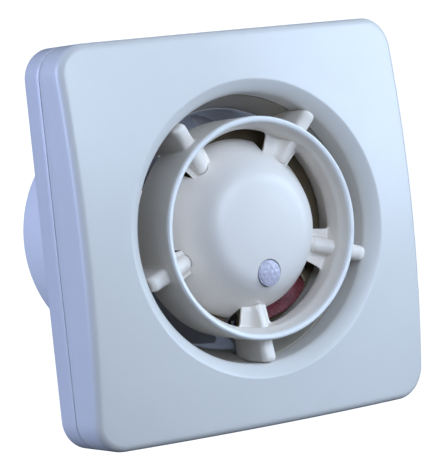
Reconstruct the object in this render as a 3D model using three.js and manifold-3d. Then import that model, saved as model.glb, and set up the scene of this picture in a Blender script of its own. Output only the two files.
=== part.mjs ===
// Bathroom extractor fan: a square wall housing with a domed motor cap, five ribs, a round duct
// spigot, a shaded pole motor, a six-blade impeller and a timer board with a movement sensor.
// Millimetres, +Z up. The front faces -Y, the wall plane is Y = 0 and the duct axis is the Y axis.
import * as THREE from 'three';
import { mergeVertices } from 'three/addons/utils/BufferGeometryUtils.js';
import Module from 'manifold-3d';

const wasm = await Module();
wasm.setup();

// ---------------------------------------------------------------- driving dimensions
const GAP = 0.4;                 // play between neighbouring mouldings
const FIT = 0.3;                 // gap between pieces that touch
const ROUND = 36;                // sides of a large circle
const SMALL = 10;                // sides of a small circle

const HALF = 77.5;               // half the side of the square housing
const CORNER = 12.2;             // corner radius of its outline
const PARTING = 11.7;            // wall plane to the joint between rear housing and cover
const FACE_DEPTH = 25.4;         // wall plane to the cover's face at the corners
const FACE_BOW = 6.6;            // how far the face bows forward along each side
const EDGE = 3;                  // fillet round the face
const SKIN = 2.2;                // wall of the cover and the rear housing
const PLATE = 2.5;               // floor of the rear housing

const SPIGOT_R = 49.5;           // outside radius of the duct spigot
const SPIGOT_BORE = 47.5;
const SPIGOT_END = 68;           // wall plane to the spigot's end
const STUB_FRONT = -8;           // the spigot's tube starts this far in front of the wall

const THROAT_R = 52.6;           // round opening in the cover
const LIP_R = 58;                // where its flared lip meets the face
const THROAT_BACK = -20;
const LIP_START = -29;

const RIB_ANGLES = [54, 126, 198, 270, 342];
const RIB_CREST = -31;           // crest as drawn, before a rib is leaned
const RIB_BACK = -9;
const RIB_TIP_R = 29.3;          // inner end of the ribs
const RIB_TIP_DEPTH = 28;        // wall plane to the crest at that end
const RIB_SLOPE = 0.245;         // how much the crest comes forward per millimetre outward
const WEB_END_R = 52.1;
const RIM_R = 43.3;              // outside radius of the motor cup's rim
const RIM_FRONT = -37.2;
const CUP_BACK = -13;
const WELL_R = 38.1;             // foot of the wall inside the cup
const FLOOR_FRONT = -25.2;
const FLOOR_BACK = -23.2;
const SLOT_INNER = 28.8;         // cooling slots in the cup's floor
const SLOT_OUTER = 38.8;
const SLOT_CORNER = 3;
const COIL_SLOT = [279, 329];    // the slot in front of the coil, from one angle to another
const SLOTS = [[69, 116], [-7, 46], COIL_SLOT, [207, 251], [138, 189]];
const CABLE_RIB = 270;           // the rib that carries the leads

const ARM_FRONT = -17;           // arms that screw the carrier to the rear housing
const ARM_BACK = -15;
const POST_XZ = 61;
const POST_R = 4;

const LENS_Z = -17.4;            // movement sensor below the middle of the dome
const LENS_R = 5.1;
const LENS_HOLE_R = 5.4;
const PIR_BOARD = { front: -30.9, back: -29.6 };

const COIL_ANGLE = 300;          // direction from the shaft to the motor's coil
const STACK = { front: -17, back: -3, tail: -17, head: 33, side: 20 };
const STATOR_BORE = 12.3;
const LEG = { inner: 25, outer: 33 };
const WINDOW = { inner: 17.5, side: 13.5 };
const SCREW_V = 17;              // motor screws, each side of the shaft

const SHAFT_R = 2;
const HUB_R = 20;
const HUB_FRONT = 7;
const HUB_BACK = 21;
const BLADES = 6;
const TIP_R = 46;

const BOARD = { front: -8, back: -6.4, half: 50, bottom: -72.6, top: -50 };
const TIMER = { x: 41, z: -60.5 };
const GLAND = { x: -61, z: -37, r: 7.2 };
const CLAMP_Z = -50;

// ---------------------------------------------------------------- shape helpers
const radians = THREE.MathUtils.degToRad;

/** Merged, closed and outward-facing copy of a geometry. */
function closed(geometry) {
  const bare = geometry.index ? geometry.clone() : mergeVertices(geometry.clone());
  for (const name of Object.keys(bare.attributes)) {
    if (name !== 'position') bare.deleteAttribute(name);
  }
  const merged = mergeVertices(bare, 1e-4);
  const index = merged.index.array;
  const position = merged.attributes.position;
  const [a, b, c] = [new THREE.Vector3(), new THREE.Vector3(), new THREE.Vector3()];
  const kept = [];
  let volume = 0;
  for (let i = 0; i < index.length; i += 3) {
    const [p, q, r] = [index[i], index[i + 1], index[i + 2]];
    if (p === q || q === r || r === p) continue;
    kept.push(p, q, r);
    a.fromBufferAttribute(position, p);
    b.fromBufferAttribute(position, q);
    c.fromBufferAttribute(position, r);
    volume += a.dot(b.cross(c));
  }
  if (volume < 0) kept.reverse();
  merged.setIndex(kept);
  return merged;
}

function solid(shape) {
  if (shape instanceof wasm.Manifold) return shape;
  const geometry = closed(shape);
  return new wasm.Manifold(new wasm.Mesh({
    numProp: 3,
    vertProperties: new Float32Array(geometry.attributes.position.array),
    triVerts: new Uint32Array(geometry.index.array),
  }));
}

function join(...shapes) {
  return shapes.map(solid).reduce((whole, next) => whole.add(next));
}

function cut(shape, ...tools) {
  return tools.map(solid).reduce((left, tool) => left.subtract(tool), solid(shape));
}

function geometryOf(shape) {
  if (!(shape instanceof wasm.Manifold)) return closed(shape);
  const mesh = shape.getMesh();
  const geometry = new THREE.BufferGeometry();
  geometry.setAttribute('position', new THREE.BufferAttribute(new Float32Array(mesh.vertProperties), 3));
  geometry.setIndex(Array.from(mesh.triVerts));
  return geometry;
}

/** Body turned about the Y axis from an outline of [radius, y] points. */
function turned(points, sides = ROUND) {
  const outline = [...points, points[0]].map(([r, y]) => new THREE.Vector2(r, y));
  return new THREE.LatheGeometry(outline, sides);
}

function rod(radius, front, back, x = 0, z = 0, sides = SMALL) {
  return turned([[0, front], [radius, front], [radius, back], [0, back]], sides).translate(x, 0, z);
}

function pipe(outer, inner, front, back, x = 0, z = 0, sides = SMALL) {
  const points = [[inner, front], [outer, front], [outer, back], [inner, back]];
  return turned(points, sides).translate(x, 0, z);
}

function block(x0, x1, y0, y1, z0, z1) {
  const box = new THREE.BoxGeometry(x1 - x0, y1 - y0, z1 - z0);
  return box.translate((x0 + x1) / 2, (y0 + y1) / 2, (z0 + z1) / 2);
}

/** Flat shape in the XZ plane, made thick from y = front to y = back. */
function slab(shape, front, back, curveSegments = 6) {
  const flat = new THREE.ExtrudeGeometry(shape, { depth: back - front, bevelEnabled: false, curveSegments });
  return flat.rotateX(Math.PI / 2).translate(0, back, 0);
}

/** Shape of (tangent, y) points, extruded outward along the radius at an angle about the Y axis. */
function radial(shape, angle, inner, outer) {
  const options = { depth: outer - inner, bevelEnabled: false, curveSegments: 3 };
  const bar = new THREE.ExtrudeGeometry(shape, options);
  const out = new THREE.Vector3(Math.cos(radians(angle)), 0, Math.sin(radians(angle)));
  const along = new THREE.Vector3(-out.z, 0, out.x);
  const place = new THREE.Matrix4().makeBasis(along, new THREE.Vector3(0, 1, 0), out);
  return bar.translate(0, 0, inner).applyMatrix4(place);
}

/** Turns a piece drawn with the coil towards +X to where the coil really is. */
function toCoil(geometry) {
  return geometry.rotateY(-radians(COIL_ANGLE));
}

function polygon(points) {
  return new THREE.Shape(points.map(([x, y]) => new THREE.Vector2(x, y)));
}

function rectangle(x0, x1, y0, y1) {
  return polygon([[x0, y0], [x1, y0], [x1, y1], [x0, y1]]);
}

/** Rectangle with rounded corners. */
function softRectangle(x0, x1, y0, y1, r) {
  const shape = new THREE.Shape();
  shape.absarc(x1 - r, y1 - r, r, 0, Math.PI / 2);
  shape.absarc(x0 + r, y1 - r, r, Math.PI / 2, Math.PI);
  shape.absarc(x0 + r, y0 + r, r, Math.PI, Math.PI * 1.5);
  shape.absarc(x1 - r, y0 + r, r, Math.PI * 1.5, Math.PI * 2);
  return shape;
}

/** Part of a ring about the origin between two radii and two angles, with rounded corners. */
function sector(inner, outer, from, to, corner) {
  const [a, b] = [radians(from), radians(to)];
  const at = (r, angle) => [r * Math.cos(angle), r * Math.sin(angle)];
  const [wide, narrow] = [corner / outer, corner / inner];
  const shape = new THREE.Shape();
  shape.moveTo(...at(outer - corner, a));
  shape.quadraticCurveTo(...at(outer, a), ...at(outer, a + wide));
  shape.absarc(0, 0, outer, a + wide, b - wide);
  shape.quadraticCurveTo(...at(outer, b), ...at(outer - corner, b));
  shape.lineTo(...at(inner + corner, b));
  shape.quadraticCurveTo(...at(inner, b), ...at(inner, b - narrow));
  shape.absarc(0, 0, inner, b - narrow, a + narrow, true);
  shape.quadraticCurveTo(...at(inner, a), ...at(inner + corner, a));
  shape.closePath();
  return shape;
}

/** Lead of round section along a smooth curve through [x, y, z] points. */
function lead(radius, points, steps) {
  const curve = new THREE.CatmullRomCurve3(points.map((p) => new THREE.Vector3(...p)), false, 'centripetal');
  const section = new THREE.Shape().absarc(0, 0, radius, 0, Math.PI * 2);
  return new THREE.ExtrudeGeometry(section, { steps, extrudePath: curve, curveSegments: 4 });
}

/** Pan head screw pointing to +Y, with a slotted head, whose head sits on y = seat. */
function screw(x, z, seat, length, shank, head, headHeight) {
  const body = turned([
    [0, seat - headHeight], [head * 0.7, seat - headHeight], [head, seat - headHeight / 2],
    [head, seat], [shank, seat], [shank, seat + length], [0, seat + length],
  ], 10);
  const slot = block(-head * 1.1, head * 1.1, -headHeight, headHeight * 0.45, -0.4, 0.4);
  return cut(body, slot.translate(0, seat - headHeight, 0)).translate([x, 0, z]);
}

// ---------------------------------------------------------------- square outline of the housing
/** Points round the housing: where the corner arc or side starts, and its outward normal. */
function outlineStations(cornerSteps, sideSteps) {
  const core = HALF - CORNER;
  const edgeAngle = Math.atan2(core, HALF);
  const stations = [];
  for (let side = 0; side < 4; side += 1) {
    const turn = side * Math.PI / 2;
    for (let i = 1; i < sideSteps; i += 1) {
      const offset = HALF * Math.tan(edgeAngle * (2 * i / sideSteps - 1));
      const anchor = new THREE.Vector2(core, offset).rotateAround(new THREE.Vector2(), turn);
      stations.push({ anchor, normal: new THREE.Vector2(1, 0).rotateAround(new THREE.Vector2(), turn) });
    }
    for (let i = 0; i <= cornerSteps; i += 1) {
      const anchor = new THREE.Vector2(core, core).rotateAround(new THREE.Vector2(), turn);
      const angle = turn + Math.PI / 2 * i / cornerSteps;
      stations.push({ anchor, normal: new THREE.Vector2(Math.cos(angle), Math.sin(angle)) });
    }
  }
  return stations;
}

const STATIONS = outlineStations(4, 8);
const CORNER_STATIONS = outlineStations(4, 1);

/** Point of the outline moved in by inset, as a Vector2 of (x, z). */
function outlinePoint({ anchor, normal }, inset) {
  return anchor.clone().addScaledVector(normal, CORNER - inset);
}

function squareShape(inset) {
  return new THREE.Shape(CORNER_STATIONS.map((station) => outlinePoint(station, inset)));
}

function squareRing(outerInset, innerInset, front, back) {
  const shape = squareShape(outerInset);
  shape.holes.push(new THREE.Path(squareShape(innerInset).getPoints()));
  return slab(shape, front, back);
}

function circlePath(x, z, r, sides = SMALL) {
  const points = [];
  for (let i = 0; i < sides; i += 1) {
    const angle = Math.PI * 2 * i / sides;
    points.push(new THREE.Vector2(x + r * Math.cos(angle), z + r * Math.sin(angle)));
  }
  return new THREE.Path(points);
}

/** The pillow-shaped face: it bows forward both across and up the cover. */
function faceY(x, z) {
  return -(FACE_DEPTH + FACE_BOW * (2 - (x * x + z * z) / (HALF * HALF)));
}

// ---------------------------------------------------------------- front cover
const LIP_STEPS = 5;

/** Closed loop of [x, y, z] points through the cover's wall at one station of the outline. */
function coverSection(station) {
  const rim = outlinePoint(station, 0);
  const out = rim.clone().normalize();
  const section = [];
  const onCircle = (r, y) => section.push([out.x * r, y, out.y * r]);
  const onOutline = (inset, y) => {
    const p = outlinePoint(station, inset);
    section.push([p.x, y === null ? faceY(p.x, p.y) : y, p.y]);
  };
  const lipFace = faceY(LIP_R, 0);
  onCircle(THROAT_R, THROAT_BACK);
  for (let i = 0; i <= LIP_STEPS; i += 1) {
    const t = i / LIP_STEPS;
    onCircle(THROAT_R + (LIP_R - THROAT_R) * t * t, LIP_START + (lipFace - LIP_START) * t);
  }
  const start = out.clone().multiplyScalar(LIP_R);
  const end = outlinePoint(station, EDGE);
  for (const t of [0.3, 0.65]) {
    const p = start.clone().lerp(end, t);
    section.push([p.x, faceY(p.x, p.y), p.y]);
  }
  for (const degrees of [90, 60, 30, 0]) {
    const inset = EDGE * (1 - Math.cos(radians(degrees)));
    const p = outlinePoint(station, inset);
    section.push([p.x, faceY(p.x, p.y) + EDGE * (1 - Math.sin(radians(degrees))), p.y]);
  }
  onOutline(0, -PARTING - GAP / 2);
  onOutline(SKIN, -PARTING - GAP / 2);
  const inside = outlinePoint(station, SKIN);
  section.push([inside.x, faceY(inside.x, inside.y) + EDGE + SKIN / 2, inside.y]);
  const shoulder = outlinePoint(station, EDGE + SKIN / 2);
  section.push([shoulder.x, faceY(shoulder.x, shoulder.y) + SKIN, shoulder.y]);
  const middle = start.clone().lerp(end, 0.5);
  section.push([middle.x, faceY(middle.x, middle.y) + SKIN, middle.y]);
  onCircle(LIP_R, lipFace + SKIN);
  onCircle(THROAT_R + SKIN, LIP_START - 1.5);
  onCircle(THROAT_R + SKIN, THROAT_BACK);
  return section;
}

/** Skin that joins equal loops of points in a closed ring of sections. */
function ringLoft(sections) {
  const count = sections[0].length;
  const index = [];
  sections.forEach((_, s) => {
    const next = (s + 1) % sections.length;
    for (let i = 0; i < count; i += 1) {
      const j = (i + 1) % count;
      const [a, b, c, d] = [s * count + i, s * count + j, next * count + j, next * count + i];
      index.push(a, b, c, a, c, d);
    }
  });
  const geometry = new THREE.BufferGeometry();
  geometry.setAttribute('position', new THREE.Float32BufferAttribute(sections.flat(2), 3));
  geometry.setIndex(index);
  return geometry;
}

function frontCover() {
  const shell = ringLoft(STATIONS.map(coverSection));
  const tabInset = 5;
  const tab = 1.7;
  const reach = HALF - tabInset;
  const top = faceY(0, reach) + SKIN / 2;
  const tabs = [0, 90, 180, 270].map((angle) => block(reach - tab, reach, top, -PARTING - 1, -7, 7)
    .rotateY(radians(angle)));
  return join(shell, ...tabs);
}

// ---------------------------------------------------------------- rear housing
const CORNERS = [[1, 1], [-1, 1], [-1, -1], [1, -1]];
const BOARD_POSTS = [[-44, -66], [48, -68]];
const CLAMP_POSTS = [-69, -55];

function rearHousing() {
  const floor = squareShape(0);
  floor.holes.push(circlePath(0, 0, SPIGOT_BORE + 0.5, ROUND));
  floor.holes.push(circlePath(GLAND.x, GLAND.z, GLAND.r, 20));
  const base = slab(floor, -PLATE, 0);
  const wall = squareRing(0, PLATE, -PARTING + GAP / 2, 0);
  const locatingLip = squareRing(SKIN + GAP, SKIN + GAP + 1.8, -PARTING - 4, -1);
  const leadIn = 1.2;
  const tube = turned([
    [SPIGOT_BORE, STUB_FRONT], [SPIGOT_R, STUB_FRONT], [SPIGOT_R, SPIGOT_END - leadIn],
    [SPIGOT_R - leadIn / 2, SPIGOT_END], [SPIGOT_BORE, SPIGOT_END],
  ]);
  const solidPost = (r, x, z, front) => rod(r, front, -1, x, z);
  const posts = CORNERS.map(([sx, sz]) => solidPost(POST_R, sx * POST_XZ, sz * POST_XZ, ARM_BACK + FIT));
  const boardPosts = BOARD_POSTS.map(([x, z]) => solidPost(2.6, x, z, BOARD.back + FIT));
  const clampPosts = CLAMP_POSTS.map((x) => solidPost(2.6, x, CLAMP_Z, -6.6));
  const pilots = [
    ...CORNERS.map(([sx, sz]) => rod(1.8, -20, -4, sx * POST_XZ, sz * POST_XZ)),
    ...BOARD_POSTS.map(([x, z]) => rod(1.4, -20, -1.2, x, z)),
    ...CLAMP_POSTS.map((x) => rod(1.4, -20, -1.2, x, CLAMP_Z)),
  ];
  const wallSlots = [[66, 28], [-66, 28], [66, -28], [-66, -12]].map(([x, z]) => (
    slab(softRectangle(x - 2.3, x + 2.3, z - 4.5, z + 4.5, 2.2), -PLATE - 1, 1)));
  return cut(join(base, wall, locatingLip, tube, ...posts, ...boardPosts, ...clampPosts),
    ...pilots, ...wallSlots);
}

function cableGrommet() {
  return turned([
    [3.5, -4.8], [9.2, -4.8], [9.2, -PLATE - FIT], [GLAND.r - FIT, -PLATE - FIT],
    [GLAND.r - FIT, -0.3], [3.5, -0.3],
  ], 20).translate(GLAND.x, 0, GLAND.z);
}

// ---------------------------------------------------------------- motor carrier with its ribs
/** Half of the rounded crest of a rib, from its side to its top, as [tangent, depth] points. */
const CREST = [[3.4, 2.4], [2.9, 1.2], [1.9, 0.4], [0, 0]];

function ribWeb() {
  const right = CREST.map(([t, depth]) => [t, RIB_CREST + depth]);
  const left = CREST.slice(0, -1).reverse().map(([t, depth]) => [-t, RIB_CREST + depth]);
  return polygon([[-3.6, RIB_BACK], [3.6, RIB_BACK], ...right, ...left]);
}

/** Brings the crest of a radial rib, drawn at RIB_CREST, to the slope of the crests. */
function leaned(bar, angle, base, grow = 0) {
  const out = new THREE.Vector3(Math.cos(radians(angle)), 0, Math.sin(radians(angle)));
  const point = new THREE.Vector3();
  const position = bar.attributes.position;
  for (let i = 0; i < position.count; i += 1) {
    point.fromBufferAttribute(position, i);
    const depth = RIB_TIP_DEPTH + RIB_SLOPE * (point.dot(out) - RIB_TIP_R);
    const share = (depth + base) / (base - RIB_CREST);
    const foot = base - grow;
    if (point.y < foot) position.setY(i, foot + (point.y - foot) * share);
  }
  return bar;
}

/** Inner end of a rib, whose flank sweeps out into the floor of the cup on one or both sides. */
function ribFoot(leftFlare, rightFlare, grow = 0) {
  const crest = RIB_CREST - grow;
  const foot = FLOOR_FRONT - grow - 0.2;
  const shape = new THREE.Shape();
  const flank = (side, flare) => {
    const [edge, depth] = CREST[0];
    shape.lineTo(side * (flare + grow), foot);
    shape.quadraticCurveTo(side * (edge + 0.5 + grow), foot - 0.4, side * (edge + grow), crest + depth);
  };
  shape.moveTo(-leftFlare - grow, FLOOR_BACK - FIT);
  shape.lineTo(rightFlare + grow, FLOOR_BACK - FIT);
  flank(1, rightFlare);
  for (const [t, depth] of CREST.slice(1)) shape.lineTo(t + (t ? grow : 0), crest + depth);
  for (const [t, depth] of CREST.slice(0, -1).reverse()) shape.lineTo(-t - grow, crest + depth);
  shape.quadraticCurveTo(-CREST[0][0] - 0.5 - grow, foot - 0.4, -leftFlare - grow, foot);
  shape.closePath();
  return shape;
}

const FLARE = 9;
const PLAIN = 4.1;
const FLARED_RIGHT = 54;         // the rib whose other flank is swept

function ribFeet(inner, outer, grow) {
  return RIB_ANGLES.map((angle) => {
    const left = angle === CABLE_RIB ? FLARE : PLAIN;
    const right = angle === FLARED_RIGHT ? FLARE : PLAIN;
    return leaned(radial(ribFoot(left, right, grow), angle, inner, outer), angle, FLOOR_FRONT, grow);
  });
}

/** Place at a distance along and across the line from the shaft to the coil, as [x, z]. */
function atCoil(u, v) {
  const a = radians(COIL_ANGLE);
  return [u * Math.cos(a) - v * Math.sin(a), u * Math.sin(a) + v * Math.cos(a)];
}

const MOTOR_SCREWS = [atCoil(0, SCREW_V), atCoil(0, -SCREW_V)];
const DOME_LEGS = [30, 150, 234];
const DOME_LEG_R = 23;

function ductRing() {
  return turned([
    [51.9, THROAT_BACK + GAP], [54.4, THROAT_BACK + GAP], [52.6, -14.5], [50.6, -10],
    [50.2, STUB_FRONT - GAP], [47.9, STUB_FRONT - GAP], [48.5, -10.5], [50.3, -14.5],
  ]);
}

function motorCup() {
  return turned([
    [10, FLOOR_FRONT], [WELL_R, FLOOR_FRONT], [39, -26.1], [38.9, -31], [41.1, -36.2], [41.9, -37],
    [42.6, RIM_FRONT], [RIM_R, -36.2], [43.5, -34.4], [42.8, CUP_BACK], [41.2, CUP_BACK],
    [41.5, FLOOR_BACK], [10, FLOOR_BACK],
  ]);
}

/** Four flat arms from the duct ring to the corners of the rear housing. */
function carrierArms() {
  const section = rectangle(-5.5, 5.5, ARM_FRONT, ARM_BACK);
  const arms = [45, 135, 225, 315].map((angle) => radial(section, angle, 53, 92));
  const corners = cut(slab(rectangle(-HALF, HALF, -HALF, HALF), -20, -10), slab(squareShape(5), -21, -9));
  const holes = CORNERS.map(([sx, sz]) => rod(2, -20, -10, sx * POST_XZ, sz * POST_XZ));
  return cut(join(...arms), corners, ...holes);
}

function motorCarrier() {
  const webs = RIB_ANGLES.map((angle) => leaned(radial(ribWeb(), angle, 41.6, WEB_END_R), angle, RIB_BACK));
  const bridge = rectangle(-1.5, 1.5, RIB_CREST + 2, FLOOR_FRONT);
  const bridges = RIB_ANGLES.map((angle) => radial(bridge, angle, 38, 42));
  const motorBosses = MOTOR_SCREWS.map(([x, z]) => pipe(4, 1.8, FLOOR_FRONT + 1, -19.5, x, z));
  const boardPegs = [-6.2, 6.2].map((x) => rod(1.3, PIR_BOARD.back + GAP, FLOOR_FRONT + 1, x, LENS_Z));
  const slots = SLOTS.map(([from, to]) => (
    slab(sector(SLOT_INNER, SLOT_OUTER, from, to, SLOT_CORNER), -27, -22, 5)));
  const screwHoles = MOTOR_SCREWS.map(([x, z]) => rod(1.8, -30, -15, x, z));
  const legHoles = DOME_LEGS.map((angle) => radial(rectangle(-3.1, 3.1, -27, -22), angle,
    DOME_LEG_R - 1.5, DOME_LEG_R + 1.5));
  const leadNotch = block(-3.8, 3.8, -13.4, -5, -56, -39);
  const leadHole = rod(1.9, -27, -22, -4.5, -26.5);
  const ribs = [...webs, ...bridges, ...ribFeet(RIB_TIP_R, 39.4, 0)];
  return cut(join(ductRing(), motorCup(), carrierArms(), ...ribs, ...motorBosses, ...boardPegs),
    ...slots, ...screwHoles, ...legHoles, leadNotch, leadHole);
}

// ---------------------------------------------------------------- dome cap and movement sensor
const DOME_BACK = -17.6;         // end of the skirt that passes through the cooling slots
const DOME_OUTER = [
  [35.2, DOME_BACK], [34.3, -19.6], [32, -23.3], [30.1, -26.6], [28, -29.9], [26.2, -32.5],
  [24, -34.9], [21.4, -36.7], [18.6, -37.6], [9.5, -38.4], [0, -38.6],
];
const DOME_INNER = [
  [0, -36.8], [9, -36.6], [17.8, -35.9], [20.6, -35], [22.8, -33.5], [24.6, -31.6],
  [26.4, -29.2], [28.5, -25.9], [30.4, -22.6], [33.5, DOME_BACK],
];
const SLOT_PLAY = 0.8;           // degrees between the skirt and the end of a slot

function domeCap() {
  const shell = turned([...DOME_OUTER, ...DOME_INNER]);
  const legs = DOME_LEGS.map((angle) => radial(rectangle(-2.5, 2.5, -34.2, -22.9), angle,
    DOME_LEG_R - 0.8, DOME_LEG_R + 0.8));
  const floor = slab(arcBand(27, 40), FLOOR_FRONT - GAP, DOME_BACK + 1);
  const slotRoom = SLOTS.map(([from, to]) => {
    const shape = sector(SLOT_INNER + GAP, SLOT_OUTER - GAP, from + SLOT_PLAY, to - SLOT_PLAY, SLOT_CORNER);
    return slab(shape, -27, DOME_BACK + 2, 5);
  });
  const carrier = cut(join(floor, ...ribFeet(RIB_TIP_R - GAP, 40, GAP)), ...slotRoom);
  const coilRoom = slab(sector(26, 40, ...COIL_SLOT, 1), TAPE_FRONT - GAP, DOME_BACK + 1);
  const lensHole = rod(LENS_HOLE_R, -45, -32, 0, LENS_Z, 20);
  return cut(join(shell, ...legs), carrier, coilRoom, lensHole);
}

function arcBand(inner, outer) {
  const shape = new THREE.Shape(circlePath(0, 0, outer, ROUND).getPoints());
  shape.holes.push(circlePath(0, 0, inner, ROUND));
  return shape;
}

function pirLens() {
  return turned([
    [0, -38.8], [2.4, -38.6], [4.1, -38], [LENS_R, -37.2], [LENS_R, -34.6],
    [LENS_R - 0.7, -34.6], [LENS_R - 0.7, -36.8], [3.4, -37.4], [0, -38],
  ], 16).translate(0, 0, LENS_Z);
}

function pirBoard() {
  const shape = softRectangle(-8.4, 8.4, LENS_Z - 5.5, LENS_Z + 5.5, 1);
  return slab(shape, PIR_BOARD.front, PIR_BOARD.back, 2);
}

function pirSensor() {
  return turned([
    [0, -35.6], [3.6, -35.6], [4, -35.1], [4, -32], [4.5, -32],
    [4.5, PIR_BOARD.front - FIT], [0, PIR_BOARD.front - FIT],
  ], 20).translate(0, 0, LENS_Z);
}

// ---------------------------------------------------------------- motor
function statorStack() {
  const { front, back, tail, head, side } = STACK;
  const chamfer = 5;
  const outline = polygon([
    [tail + chamfer, -side], [head, -side], [head, side], [tail + chamfer, side],
    [tail, side - chamfer], [tail, chamfer - side],
  ]);
  outline.holes.push(circlePath(0, 0, STATOR_BORE, 24));
  const { inner, side: windowSide } = WINDOW;
  outline.holes.push(new THREE.Path(rectangle(inner, LEG.inner, -windowSide, windowSide).getPoints()));
  for (const sign of [-1, 1]) outline.holes.push(circlePath(0, sign * SCREW_V, 1.9, 12));
  // the frame's outer corners are stepped in, so that they clear the cup
  const shoulder = 17;
  const steps = [[-side - 1, -shoulder], [shoulder, side + 1]].map(([low, high]) => (
    slab(rectangle(head - 4, head + 1, low, high), front - 1, back + 1)));
  return toStack(cut(slab(outline, front, back), ...steps));
}

/** Insulating board in the cup, round the stator and the coil. */
function insulatingBoard() {
  const { tail, head, side } = STACK;
  const room = 0.5;
  const [end, wide] = [head + room, side + room];
  const shape = new THREE.Shape(circlePath(0, 0, 40.8, ROUND).getPoints());
  shape.holes.push(new THREE.Path(polygon([
    [tail - room, -wide], [28, -wide], [end, -17.5], [end, -14], [36.6, -13.8], [38.9, -7],
    [38.9, 7], [36.6, 13.8], [end, 14], [end, 17.5], [28, wide], [tail - room, wide],
  ]).getPoints()));
  const leadNotch = block(-8.7, -3.7, -17, -14, -38.2, -29.8);
  const airNotch = block(-2.4, 2.4, -17, -14, -36.6, -33.4).rotateY(radians(110));
  return cut(toStack(slab(shape, -16.5, -15.3)), leadNotch, airNotch);
}

function toStack(shape) {
  return closed(toCoil(geometryOf(shape)));
}

const COIL = { y: (STACK.front + STACK.back) / 2, u: (LEG.inner + LEG.outer) / 2 };

/** Bar along the motor's leg, with its waist fuller than its ends by sag. */
function legBar(halfU, halfY, corner, half, sag) {
  const { u, y } = COIL;
  const shape = softRectangle(u - halfU, u + halfU, y - halfY, y + halfY, corner);
  const options = { depth: 2 * half, steps: sag > 0 ? 6 : 1, bevelEnabled: false, curveSegments: 3 };
  const bar = new THREE.ExtrudeGeometry(shape, options).translate(0, 0, -half);
  const position = bar.attributes.position;
  for (let i = 0; i < position.count; i += 1) {
    const loss = sag * (position.getZ(i) / half) ** 2;
    position.setX(i, u + (position.getX(i) - u) * (1 - loss / halfU));
    position.setY(i, y + (position.getY(i) - y) * (1 - loss / halfY));
  }
  return bar;
}

const LEG_HALF_U = (LEG.outer - LEG.inner) / 2;
const LEG_HALF_Y = (STACK.back - STACK.front) / 2;
const BOBBIN_WALL = 1;
const WINDING_WALL = 2.8;
const TAPE_WALL = 0.5;
const COIL_HALF = 13;
const COIL_SAG = 2.2;            // how much thinner the winding is at its ends
const TAPE_FRONT = STACK.front - 2 * FIT - BOBBIN_WALL - WINDING_WALL - FIT - TAPE_WALL;

/** Sleeve round the leg: clearance and thickness beyond the leg's faces. */
function coilSleeve(start, wall, half, innerSag, outerSag) {
  const [innerU, innerY] = [LEG_HALF_U + start, LEG_HALF_Y + start];
  const outside = legBar(innerU + wall, innerY + wall, Math.min(2.5, wall), half, outerSag);
  const inside = legBar(innerU, innerY, 0.2, half, innerSag);
  const ends = innerSag > 0 ? 1 : 1 + 1 / half;
  return cut(outside, inside.scale(1, 1, ends));
}

function coilBobbin() {
  const flangeWall = BOBBIN_WALL + 2 * FIT + WINDING_WALL + TAPE_WALL - COIL_SAG;
  const tube = coilSleeve(FIT, BOBBIN_WALL, COIL_HALF, 0, 0);
  const flanges = [-1, 1].map((sign) => solid(coilSleeve(FIT, flangeWall, BOBBIN_WALL / 2, 0, 0))
    .translate([0, 0, sign * (COIL_HALF - BOBBIN_WALL / 2)]));
  return toStack(join(tube, ...flanges));
}

const WOUND_HALF = COIL_HALF - BOBBIN_WALL - FIT;
const WINDING_START = 2 * FIT + BOBBIN_WALL;
const TAPE_START = WINDING_START + WINDING_WALL + FIT;

function coilWinding() {
  return toStack(coilSleeve(WINDING_START, WINDING_WALL, WOUND_HALF, 0, COIL_SAG));
}

function windingTape() {
  return toStack(coilSleeve(TAPE_START, TAPE_WALL, WOUND_HALF, COIL_SAG, COIL_SAG));
}

function rotor() {
  return turned([
    [SHAFT_R + FIT, -17.8], [10.4, -17.8], [10.4, -16.6], [11.8, -16.2], [11.8, -3.8],
    [10.4, -3.4], [10.4, -2.2], [SHAFT_R + FIT, -2.2],
  ], 24);
}

function motorShaft() {
  return turned([
    [0, -24], [1.5, -24], [SHAFT_R, -23.5], [SHAFT_R, 20.4], [1.5, 21], [0, 21],
  ], SMALL);
}

/** Pressed strap across the stack, with its middle raised to hold a bearing bush. */
function bearingBracket(seat, rise, hole) {
  const thick = Math.sign(rise) * 1.6;
  const strap = polygon([
    [-20, seat], [-12, seat], [-8, seat + rise], [8, seat + rise], [12, seat], [20, seat],
    [20, seat + thick], [12.8, seat + thick], [8.8, seat + rise + thick],
    [-8.8, seat + rise + thick], [-12.8, seat + thick], [-20, seat + thick],
  ]);
  const blank = radial(strap, 0, -6.5, 6.5);
  const screwHoles = [-1, 1].map((sign) => rod(1.9, -40, 20, 0, sign * SCREW_V, 12));
  return toStack(cut(blank, rod(hole, -40, 20, 0, 0, 24), ...screwHoles));
}

function bearingBush(front, back) {
  const middle = (front + back) / 2;
  return turned([
    [SHAFT_R + FIT, front], [3.9, front], [4.9, middle - 0.8], [4.9, middle + 0.8],
    [3.9, back], [SHAFT_R + FIT, back],
  ], 20);
}

// ---------------------------------------------------------------- impeller
function bladeShape() {
  const [camber, thick, steps] = [0.09, 0.055, 4];
  const upper = [];
  const lower = [];
  for (let i = 0; i <= steps; i += 1) {
    const t = i / steps;
    const bow = camber * 4 * t * (1 - t);
    const half = thick / 2 * (0.45 + 2.2 * t * (1 - t));
    upper.push([t - 0.5, bow + half]);
    lower.unshift([t - 0.5, bow - half]);
  }
  return polygon([...upper, ...lower]);
}

const BLADE_Y = 13.8;
const BLADE_REST = 3;            // degrees from +X to the first blade at rest

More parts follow.
